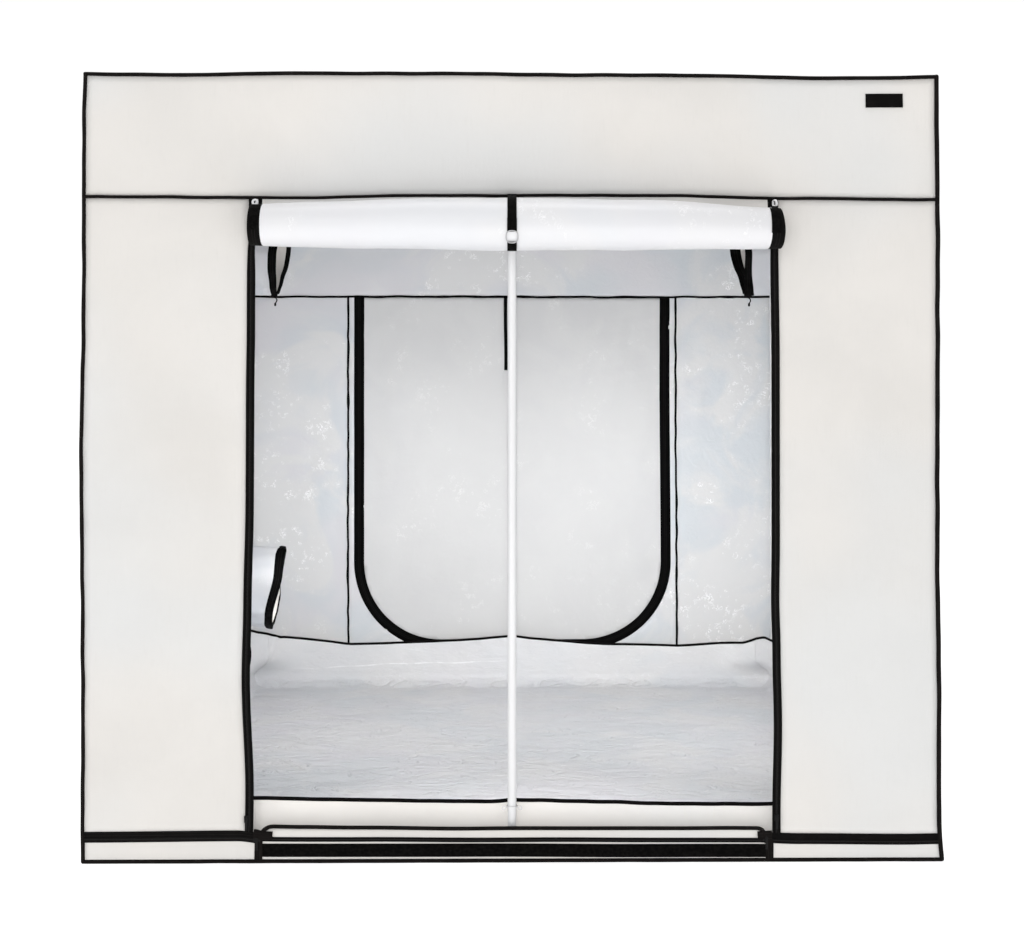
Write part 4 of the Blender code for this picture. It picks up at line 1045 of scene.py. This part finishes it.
def hanging_door():
    """The stretch of door between the seam and the roll."""
    left, right, tapes = -0.7100, 0.7315, (0.0115, 0.0150)
    u_line = np.concatenate([[left], steps(left + tapes[0], right - tapes[1], 0.03), [right]])
    v_line = np.linspace(0, 1, 61)
    u, v = np.meshgrid(u_line, v_line, indexing="ij")
    top, foot = (-1.1975, SEAM_Z - 0.003), (-(HALF + ROLL_STANDOFF) + 0.0004, ROLL_Z - 0.0065)
    y = top[0] + (foot[0] - top[0]) * v
    z = top[1] + eased(u, SEAM_LINE) * (1 - v) + (roll_z((u - ROLL_SHIFT) / ROLL_LENGTH + 0.5) - top[1]) * v
    points = np.stack([u, y, z], -1)
    points[..., 1] += 0.0012 * ripple(points * (1, 0, 0), 0.30, 411) * fade(v * (1 - v) * 4)
    shape = surface(points, u_line, (foot[1] - top[1]) * v_line)
    middles = shape.places[:, :, 0].mean(1)
    shape.finish = np.where((middles < left + tapes[0]) | (middles > right - tapes[1]), 2, 0)
    shape.quads, shape.places = shape.quads[:, ::-1], shape.places[:, ::-1]
    made = build("hanging_door", shape, [canvas, lining, zip_tape, zip_tape], None, "door_curtain", 0.0014, True)
    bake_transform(made)


# Straps

def wound_r(radius, degrees):
    """Radius of the roll's outer turn at an angle from +Y towards +Z."""
    return radius - (radius - ROLL_CORE_R) / ROLL_TURNS * (360 - degrees) / 360


def round_roll(share, degrees, lift):
    """(y, z) points that lie on the roll at those angles, a lift away from it."""
    radius = roll_radius(share)
    middle = -(HALF + ROLL_STANDOFF + radius)
    turn = np.radians(degrees)
    far = wound_r(radius, degrees) + lift
    return np.stack([middle + far * np.cos(turn), roll_z(share) + far * np.sin(turn)], -1)


def strap_route(share, end=200.0, lift=0.0022):
    """From the seam in a short drop, over the roll's top and down its front."""
    radius = roll_radius(share)
    middle = -(HALF + ROLL_STANDOFF + radius)
    start = np.array([-1.2015, SEAM_Z + 0.003])
    gap = start - (middle, float(roll_z(share)))
    over = wound_r(radius, 90) + lift
    meets = math.degrees(math.atan2(gap[1], gap[0]) + math.acos(min(over / np.hypot(*gap), 1)))
    lies = round_roll(share, np.linspace(meets, end, 26), lift)
    hang = np.array([start, start + (0, -0.004)])
    bridge = hang[-1] + (lies[0] - hang[-1]) * np.linspace(0.15, 0.9, 6)[:, None]
    return np.vstack([hang, bridge, lies])


def strap_strip(x, route, wide=0.025, thick=0.0018):
    """Webbing that follows (y, z) points at one place along the roll."""
    path = np.column_stack([np.full(len(route), x), route])
    return stitched_strip(path, (1, 0, 0), wide, thick)


def ring_shape(centre, across, down, wide, tall, wire):
    """An oblong ring with round corners: a squared oval laid along across and down, with a round
    section carried round it."""
    line = oval(wide / 2 - wire, tall / 2 - wire, 48, 0.72)
    across, down = np.array(across, float), np.array(down, float)
    path = np.array(centre) + line[:, :1] * across + line[:, 1:] * down
    return swept(path, np.cross(across, down), oval(wire, wire, 10), round_path=True)


def straps():
    """The centre strap with its ring and tail, and the two end straps, each a narrow tab above a ring and a broad strap
    over the roll."""
    route = strap_route(0.5, 202.0)
    shapes = [strap_strip(0.0, route)]
    fold = round_roll(0.5, np.linspace(176, 203, 10), 0.0048)
    shapes.append(strap_strip(0.0, fold, 0.0262, 0.0020))
    lip = round_roll(0.5, np.linspace(199.0, 204.0, 4), 0.0034)
    shapes.append(strap_strip(0.0, lip, 0.0225, 0.0050))
    build("centre_strap", shapes, [webbing], "strap_centre", "strap_centre", weld=True)
    eye = math.radians(215.5)
    far = wound_r(ROLL_MIDDLE_R, 215.5) + 0.0042
    middle = -(HALF + ROLL_STANDOFF + ROLL_MIDDLE_R)
    centre = (0.0, middle + far * math.cos(eye), float(roll_z(0.5)) + far * math.sin(eye))
    slope = math.radians(213.0)
    ring = ring_shape(centre, (1, 0, 0), (0, -math.sin(slope), math.cos(slope)), 0.0345, 0.040, 0.0016)
    build("centre_ring", ring, [bright_metal], "strap_centre", "strap_ring_centre", weld=True)

    tail = [strap_strip(0.0, round_roll(0.5, np.linspace(231, 348, 40), 0.0017)),
            strap_strip(0.0, round_roll(0.5, np.linspace(228.5, 262, 12), 0.0044), 0.0255, 0.0020)]
    made = build("tail_strap", tail, [webbing], "door_roll", "strap_tail_centre", weld=True)
    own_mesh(made)

    for sign, name, ring_x, ring_turn, tall in ((-1, "left", -0.7170, 0.1, 0.0190), (1, "right", 0.7355, -0.85, 0.0230)):
        x = ROLL_SHIFT + sign * (ROLL_LENGTH - ROLL_TAPE) / 2
        route = strap_route(0.5 + sign * (0.5 - 0.020), 200.0)
        seam = SEAM_Z + float(eased(ring_x, SEAM_LINE))
        ring = np.array([-1.2085, seam - 0.0050 - tall / 2])
        tie = np.vstack([ring + (-0.001, -tall / 2 + 0.0035), (ring + (0, -tall / 2) + route[9]) / 2 + (-0.001, 0.001), route[9:]])
        share = fade(along(tie) / 0.075)
        strap = np.column_stack([ring_x + (x - ring_x) * share, tie])
        tab = np.column_stack([np.full(4, ring_x), [-1.2030, -1.2060, -1.2092, -1.2096],
                               [seam - 0.0010, seam - 0.0040, seam - 0.0085, seam - 0.0120]])
        shapes = [stitched_strip(tab, (1, 0, 0), 0.0070, 0.0016),
                  stitched_strip(strap, (1, 0, 0), 0.0250, 0.0018, 0, 0.60 + 0.40 * share)]
        build(f"end_strap_{name}", shapes, [webbing], f"strap_{name}", f"strap_{name}", weld=True)
        across = (math.cos(ring_turn), math.sin(ring_turn), 0)
        loop = ring_shape((ring_x, *ring), across, (0, 0.05, 1), 0.0190, tall, 0.0034)
        build(f"end_ring_{name}", loop, [moulded], f"strap_{name}", weld=True)

    top, foot = REAR_SEAM_Z - 0.001, 1.410
    v = steps(top, foot, 0.012)
    path = np.column_stack([-0.030 + 0.0012 * np.sin(v * 14), np.full_like(v, 1.1926), v])
    path[:, 1] -= 0.0015 * fade((top - v) / 0.1) * np.sin((top - v) * 9) ** 2
    build("rear_hanging_strap", stitched_strip(path, (1, 0, 0), 0.015, 0.0018), [webbing], "rear_strap",
          "rear_strap", weld=True)


# Duct sleeves

class Sleeve:
    """A limp tube that narrows and sinks as it goes in. Its mouth leans and turns a little and is
    drawn together towards its top or its foot."""

    def __init__(self, side, z, long, sag, lean, twist, pinch_up, pinch, pinch_from):
        self.side, self.z, self.long, self.sag = side, z, long, sag
        self.lean, self.twist = lean, twist
        self.pinch_up, self.pinch, self.pinch_from = pinch_up, pinch, pinch_from

    def points(self, inward, turn, radius):
        """Points inward metres from the wall at an angle round the tube."""
        carried = np.clip(inward - CLOTH, 0, None) / self.long
        up, back = np.sin(turn), np.cos(turn)
        squeezed = 1 - self.pinch * carried ** 2 * fade((self.pinch_up * up - self.pinch_from) / 0.95)
        gather = 0.0026 * carried ** 2 * np.sin(13 * turn + 5 * carried) + 0.0022 * carried * np.sin(7 * turn + 2)
        radius = radius + gather
        reach = inward + carried * (self.lean * up / 2 + self.twist * back * (1 - self.pinch_up * up) / 2)
        return np.stack(np.broadcast_arrays(self.side * (FACE - reach), SLEEVE_Y + radius * back * squeezed,
                                            self.z + radius * up - self.sag * carried ** 2), -1)


def duct_sleeve(name, side, z, long, sag, lean, twist, pinch_up, pinch, pinch_from, hem_sizes):
    """A sleeve, its black hem, its flange on the outside of the wall and the drawcord's tail.
    hem_sizes are the hem's breadth on the near side, what the far side has more and what the
    pinched end has more."""
    sleeve = Sleeve(side, z, long, sag, lean, twist, pinch_up, pinch, pinch_from)
    hem_from = long - HEM
    turn = np.arange(64) * TURN / 64
    inward = np.concatenate([[-0.0004, 0.0004], steps(0.004, long - 0.003, 0.012)])
    g_in, g_turn = np.meshgrid(inward, turn, indexing="ij")
    radius = SLEEVE_R + (MOUTH_R - SLEEVE_R) * np.clip(g_in / hem_from, 0, 1)
    points = sleeve.points(g_in, g_turn, radius - 0.0001)
    loose = fade(g_in / 0.06) * fade((hem_from - g_in) / 0.05)
    points += 0.0022 * ripple(points, 0.10, 501)[..., None] * np.array([0, 0.7, 0.7]) * loose[..., None]
    body = surface(points, inward, turn * MOUTH_R, False, True)
    if side < 0:
        body.quads, body.places = body.quads[:, ::-1], body.places[:, ::-1]
    made = build(f"{name}_cloth", body, [sleeve_lining, canvas], "tent", name, 0.0009, True)

    across = np.array([0, 0.3, 0.7, 1, 1, 0.7, 0.3, 0]) * HEM
    thick = np.array([0.0006, 0.0022, 0.0022, 0.0006, -0.0016, -0.0030, -0.0030, -0.0016])
    g_turn, g_across = np.meshgrid(turn, across, indexing="ij")
    near, further, pinched = hem_sizes
    broad = near + further * fade((np.cos(g_turn) + 0.5) / 1.1) + pinched * fade((pinch_up * np.sin(g_turn) - 0.3) / 0.7)
    broad = np.maximum(broad, 0.12)
    points = sleeve.points(long - (HEM - g_across) * broad, g_turn, MOUTH_R + thick[None, :])
    hem = surface(points, turn * MOUTH_R, across - 0.015, True, True)
    build(f"{name}_hem", hem, [inner_tape], "tent", weld=True)

    rings = np.array([SLEEVE_R - 0.0025, SLEEVE_R + 0.003, SLEEVE_R + 0.018, SLEEVE_R + 0.0290, SLEEVE_R + 0.0300])
    stand = np.array([0.0002, 0.0016, 0.0018, 0.0014, 0.0003])
    g_turn, g_r = np.meshgrid(turn, rings, indexing="ij")
    flat = on_side("left" if side < 0 else "right", side * (SLEEVE_Y + g_r * np.cos(g_turn)), z + g_r * np.sin(g_turn), stand[None, :])
    flange = surface(sway(flat), turn * SLEEVE_R, rings, True, False)
    if side > 0:
        flange.quads, flange.places = flange.quads[:, ::-1], flange.places[:, ::-1]
    build(f"{name}_flange", flange, [canvas], "tent", thick=0.0012)
    around = [np.column_stack([np.full(64, side * (FACE + 0.0012)), SLEEVE_Y + r * np.cos(turn), z + r * np.sin(turn)])
              for r in (SLEEVE_R + 0.028, SLEEVE_R + 0.001)]
    rings = [swept(sway(p), (side, 0, 0), oval(0.0024, 0.0034, 8), round_path=True) for p in around]
    build(f"{name}_bindings", rings, [binding], "tent", weld=True)

    at = sleeve.points(np.array(long - 0.012), np.array(pinch_up * math.pi / 2), np.array(MOUTH_R + 0.004))
    lock = at + (0, 0, 0.0018 * pinch_up)
    bead = np.array([[-0.008, -0.003, 0], [-0.003, -0.003, 0.001], [0.003, -0.002, 0],
                     [0.008, -0.003, -0.001]])
    bead_path, sizes = round_ended(lock + bead, 0.004)
    build(f"{name}_cord_lock", swept(bead_path, (0, 0, 1), oval(0.0046, 0.0042, 12), sizes),
          [black_slider], "tent", weld=True)
    exit_at = lock + np.array([0.0, -0.006, -0.003])
    share = np.linspace(0, 1, 16)[:, None]
    tail = exit_at + share * np.array([0.010, -0.004, -0.027]) + np.array([0.006, 0, 0]) * np.sin(share * math.pi * 1.4)
    ended, sizes = round_ended(tail, 0.0020)
    cord = build(f"{name}_drawcord", swept(ended, (0, 1, 0), oval(0.0020, 0.0020, 10), sizes), [webbing], "tent",
                 weld=True)
    end_path, sizes = round_ended(tail[-1] + np.array([[0, 0, 0.003], [0, 0, 0], [0, 0, -0.003]]), 0.0030)
    knot = build(f"{name}_cord_knot", swept(end_path, (0, 1, 0), oval(0.0036, 0.0036, 10), sizes), [webbing], "tent",
                 weld=True)


def cable_sleeve():
    """A small cable sleeve low on the left wall: a soft tube that narrows and sinks, with a black
    rim and a bound ring where it goes through the wall."""
    y, z, long, wide = 0.25, 0.330, 0.190, 0.0415
    turn = np.arange(40) * TURN / 40
    g_in, g_turn = np.meshgrid(steps(0.002, long, 0.008), turn, indexing="ij")
    droop = 0.025 * (g_in / long) ** 2
    radius = wide + 0.006 * (1 - g_in / long) + 0.0015 * np.sin(5 * g_turn + 30 * g_in)
    points = np.stack([g_in - FACE, y + radius * np.cos(g_turn), z + radius * np.sin(g_turn) - droop], -1)
    tube = surface(points, g_in[:, 0], turn * wide, False, True)
    tube.quads, tube.places = tube.quads[:, ::-1], tube.places[:, ::-1]
    build("cable_sleeve", tube, [sleeve_lining, canvas], "tent", thick=0.0012, lined=True)
    rings = []
    for inward, radius, drop in ((long, wide, 0.025), (0.004, wide + 0.008, 0),
                                 (-0.0012, wide + 0.022, 0), (-0.0012, wide + 0.004, 0)):
        path = np.column_stack([np.full(40, inward - FACE), y + radius * np.cos(turn), z - drop + radius * np.sin(turn)])
        rings.append(swept(path, (1, 0, 0), oval(0.0040, 0.0022, 8), round_path=True))
    build("cable_sleeve_rims", rings, [inner_tape], "tent", weld=True)


# Floor tray

FRONT_RIM = ((-1.15, 0.172), (-0.726, 0.165), (-0.32, 0.156), (-0.04, 0.1535), (0.0, 0.1575), (0.08, 0.157), (0.25, 0.1513),
             (0.39, 0.1467), (0.73, 0.146), (1.15, 0.155))
REAR_RIM = ((-1.15, 0.2457), (-1.050, 0.2297), (-0.859, 0.2050), (-0.725, 0.1890), (-0.448, 0.1948), (-0.1445, 0.2122),
            (0.0, 0.2240), (0.079, 0.2141), (0.347, 0.1913), (0.732, 0.1796), (1.042, 0.1970), (1.15, 0.2220))
LEFT_RIM = ((-1.15, 0.172), (-0.6, 0.160), (0.0, 0.200), (0.6, 0.235), (0.947, 0.2845), (1.035, 0.2632), (1.15, 0.2457))
RIGHT_RIM = ((-1.15, 0.155), (-0.6, 0.160), (0.0, 0.200), (0.6, 0.215), (1.05, 0.236), (1.15, 0.222))


def tray():
    """One loose sheet: a floor that has crept into ridges, turned up on four sides."""
    bend = 0.050  # radius of the soft bend between the floor and its sides
    middle = TRAY_HALF - 0.06
    line = np.concatenate([steps(-TRAY_HALF, -middle, 0.010)[:-1], steps(-middle, middle, 0.022),
                           steps(middle, TRAY_HALF, 0.010)[1:]])
    x, y = np.meshgrid(line, line, indexing="ij")
    flat = np.stack([x, y, np.zeros_like(x)], -1)
    from_edge = TRAY_HALF - np.maximum(np.abs(x), np.abs(y))
    edge = fade((from_edge - 0.02) / 0.10)
    ridges = 0.0006 * (1 + ripple(flat * (1, 1.9, 1), 0.5, 601)) + 0.0009 * crush(flat * (0.45, 1.3, 1), 0.42, 602) \
        + 0.0006 * crush(flat * (0.5, 1.2, 1), 0.21, 603) + 0.0004 * ripple(flat * (0.4, 1, 1), 0.09, 604)
    fold = 0.0026 * np.exp(-((y - 0.107 - 0.008 * np.sin(4 * x)) / 0.014) ** 2)
    turned = bend - np.sqrt(np.maximum(bend ** 2 - np.maximum(bend - from_edge, 0) ** 2, 0))
    height = TRAY_FLOOR + edge * np.maximum(ridges + fold, 0) + turned
    floor = surface(np.stack([x, y, height], -1), line, line)

    corners = ((-1, -1), (1, -1), (1, 1), (-1, 1))
    walls, rims, rounding = [], [], 0.26
    for k, rim_line in enumerate((FRONT_RIM, RIGHT_RIM, REAR_RIM, LEFT_RIM)):
        (ax, ay), (bx, by) = corners[k], corners[(k + 1) % 4]
        share = (line + TRAY_HALF) / (2 * TRAY_HALF)
        px, py = TRAY_HALF * (ax + (bx - ax) * share), TRAY_HALF * (ay + (by - ay) * share)
        out = np.array([(by - ay) / 2, -(bx - ax) / 2])
        up = np.linspace(0, 1, 12)
        g_share, g_up = np.meshgrid(share, up, indexing="ij")
        tall = bend + (np.interp((px, py)[k % 2], *zip(*rim_line)) - bend)[:, None] * g_up
        corner = np.sign([px, py]) * (TRAY_HALF - rounding)
        past = np.array([px, py]) - corner
        in_corner = (np.abs([px, py]) > TRAY_HALF - rounding).all(0)
        pull = np.where(in_corner, past * (rounding / np.maximum(np.hypot(*past), 1e-6) - 1), 0) * (py > 0)
        bow = fade(g_up * 2.2)
        base = np.stack([px[:, None] + pull[0][:, None] * bow, py[:, None] + pull[1][:, None] * bow, tall], -1)
        calm = fade(np.minimum(g_share, 1 - g_share) / 0.08) * g_up
        slack = (0.0035 * ripple(base, 0.28, 611 + k) + 0.0020 * ripple(base, 0.11, 621 + k) - 0.0035) * calm
        if k == 2:
            fold = px[:, None] - (-1.173 + 0.123 * g_up)
            slack = slack - 0.013 * np.exp(-(fold / 0.019) ** 2) * fade(g_up * 3) * fade((px[:, None] + TRAY_HALF) / 0.03)
        points = base + np.array([0, 0, TRAY_FLOOR])
        points[..., 0] += out[0] * slack
        points[..., 1] += out[1] * slack
        walls.append(surface(points, share * 2 * TRAY_HALF, up * 0.2))
        rims.append(points[:-1, -1])
    floor.quads, floor.places = floor.quads[:, ::-1], floor.places[:, ::-1]
    made = build("floor_tray_cloth", [floor] + walls, [painted_lit_tray_backing, tray_cloth], "tent", "floor_tray",
                 0.0014, True, weld=True)
    rim = np.concatenate(rims)
    rim[:, 2] -= 0.001
    build("tray_binding", swept(rim, (0, 0, 1), oval(0.0056, 0.0036, 10), round_path=True), [zip_tape],
          "tent", weld=True)


def tray_hooks():
    """Small white loops that hold the tray's rim to the front and rear posts."""
    shapes = []
    for sign in (-1, 1):
        line = oval(0.0052, 0.0052, 20)
        ring = np.column_stack([sign * 0.0225 + line[:, 0], np.full(20, -1.1855), 0.148 + line[:, 1]])
        shapes.append(swept(ring, (0, 1, 0), oval(0.0016, 0.0016, 8), round_path=True))
    turn = np.linspace(-0.35 * math.pi, 1.35 * math.pi, 24)
    band = np.column_stack([0.0150 * np.cos(turn), -1.1694 - 0.0150 * np.sin(turn), np.full(24, 0.148)])
    shapes.append(stitched_strip(band, (0, 0, 1), 0.0060, 0.0016))
    build("tray_hooks", shapes, [moulded], "tent", weld=True)
    eyelets = [ring_shape((-0.016, 1.1400, 0.205), (1, 0, 0), (0, 0, 1), 0.009, 0.009, 0.0022),
               ring_shape((-1.120, 1.045, 0.236), (0, 1, 0), (0, 0, 1), 0.009, 0.009, 0.0022)]
    build("tray_eyelets", eyelets, [black_slider], "tent", weld=True)


def label_patch():
    """A plain dark patch sewn to the header, with nothing on it."""
    path = front_line([(0.995, 2.131), (1.0995, 2.131)], 0.0016, 0.008)
    build("plain_patch", stitched_strip(path, (0, 0, 1), 0.039, 0.0014), [zip_tape], "tent", weld=True)


# Rigid pieces keep their solids and get finishes

def dress_solids():
    for name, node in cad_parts.items():
        if "joint" in name:
            finish = moulded
        elif "slider" in name:
            finish = black_slider
        elif "post" in name or "rail" in name or "bar" in name:
            finish = powder_coat
        else:
            continue
        node.data.materials.clear()
        node.data.materials.append(finish)


# Light, ground and camera

def ground():
    size, level = 40.0, -0.0006  # just under the tent's foot
    corners = [(-size, -size, level), (size, -size, level), (size, size, level), (-size, size, level)]
    mesh = bpy.data.meshes.new("ground")
    mesh.from_pydata(corners, [], [(0, 1, 2, 3)])
    floor = bpy.data.objects.new("ground", mesh)
    bpy.context.collection.objects.link(floor)
    made = Finish("pale_floor", (0.88, 0.88, 0.88), 0.8)
    made.set({"Emission Color": (1, 1, 1, 1), "Emission Strength": 0.72})
    mesh.materials.append(made.material)


def lamp(name, place, aim, size, power):
    light = bpy.data.lights.new(name, "AREA")
    light.shape = "RECTANGLE"
    light.size, light.size_y = size
    light.energy = power
    made = bpy.data.objects.new(name, light)
    made.location = place
    way = np.array(aim, float) - place
    made.rotation_euler = Vector(way).to_track_quat("-Z", "Y").to_euler()
    made.visible_camera = False
    bpy.context.collection.objects.link(made)


def studio():
    """White all round: a bright world, a broad soft key from the left, one lamp above the front,
    one low before it and three within."""
    bpy.context.scene.view_settings.view_transform = "Standard"
    world = bpy.data.worlds.new("studio")
    bpy.context.scene.world = world
    world.use_nodes = True
    tree = world.node_tree
    surround = tree.nodes["Background"]
    surround.inputs["Strength"].default_value = 0.55
    backdrop = tree.nodes.new("ShaderNodeBackground")
    backdrop.inputs["Strength"].default_value = 1.02
    for sky in (surround, backdrop):
        sky.inputs["Color"].default_value = (1, 1, 1, 1)
    ray, mix = tree.nodes.new("ShaderNodeLightPath"), tree.nodes.new("ShaderNodeMixShader")
    tree.links.new(ray.outputs["Is Camera Ray"], mix.inputs[0])
    tree.links.new(surround.outputs[0], mix.inputs[1])
    tree.links.new(backdrop.outputs[0], mix.inputs[2])
    tree.links.new(mix.outputs[0], tree.nodes["World Output"].inputs["Surface"])
    lamp("key", (-1.8, -8.5, 3.4), (0, 0.0, 1.0), (3.5, 3.0), 93)
    lamp("above", (0, -1.46, 4.2), (0, -1.30, 1.8), (2.4, 0.45), 26)
    lamp("low", (0, -3.8, 0.40), (0, -1.1, 0.15), (2.6, 0.5), 8)
    lamp("within_left", (-0.56, -0.10, 1.00), (-1.05, 1.2, 0.55), (0.48, 0.80), 4.6)
    lamp("within_right", (0.56, -0.10, 1.00), (1.08, 1.2, 0.55), (0.48, 0.80), 5.2)
    lamp("doorway", (0, -0.95, 0.62), (0, 1.2, 0.25), (1.30, 0.80), 8.4)


def camera():
    """Stands just off the tent's middle line, 3.9 m in front of it."""
    lens = bpy.data.cameras.new("camera")
    lens.sensor_width = 36.0
    lens.lens = 1402.0 / 1024 * 36.0
    lens.shift_x, lens.shift_y = -0.01272, -0.09696
    made = bpy.data.objects.new("camera", lens)
    made.location = (0.0023, -5.1193, 1.3068)
    made.rotation_euler = (math.radians(90.856), 0, math.radians(-0.4974))
    bpy.context.collection.objects.link(made)
    bpy.context.scene.camera = made


camera()
canopy()
base_band()
edge_binding()
seams()
front_zips()
rear_zip()
sill_trim()
rolled_door()
hanging_door()
straps()
duct_sleeve("duct_sleeve_lower_left", -1, LOWER_SLEEVE_Z, 0.392, 0.024, 0.046, -0.011, 1, 0.92, -0.60,
            (0.92, -0.74, 0.14))
duct_sleeve("duct_sleeve_upper_left", -1, UPPER_SLEEVE_Z, 0.401, 0.008, 0.038, 0.002, -1, 0.40, -0.05,
            (0.97, -0.42, -0.20))
duct_sleeve("duct_sleeve_upper_right", 1, UPPER_SLEEVE_Z, 0.409, 0.008, 0.040, 0.006, -1, 0.62, -0.15,
            (0.80, 0.44, 0.28))
cable_sleeve()
tray()
tray_hooks()
label_patch()
dress_solids()
ground()
studio()
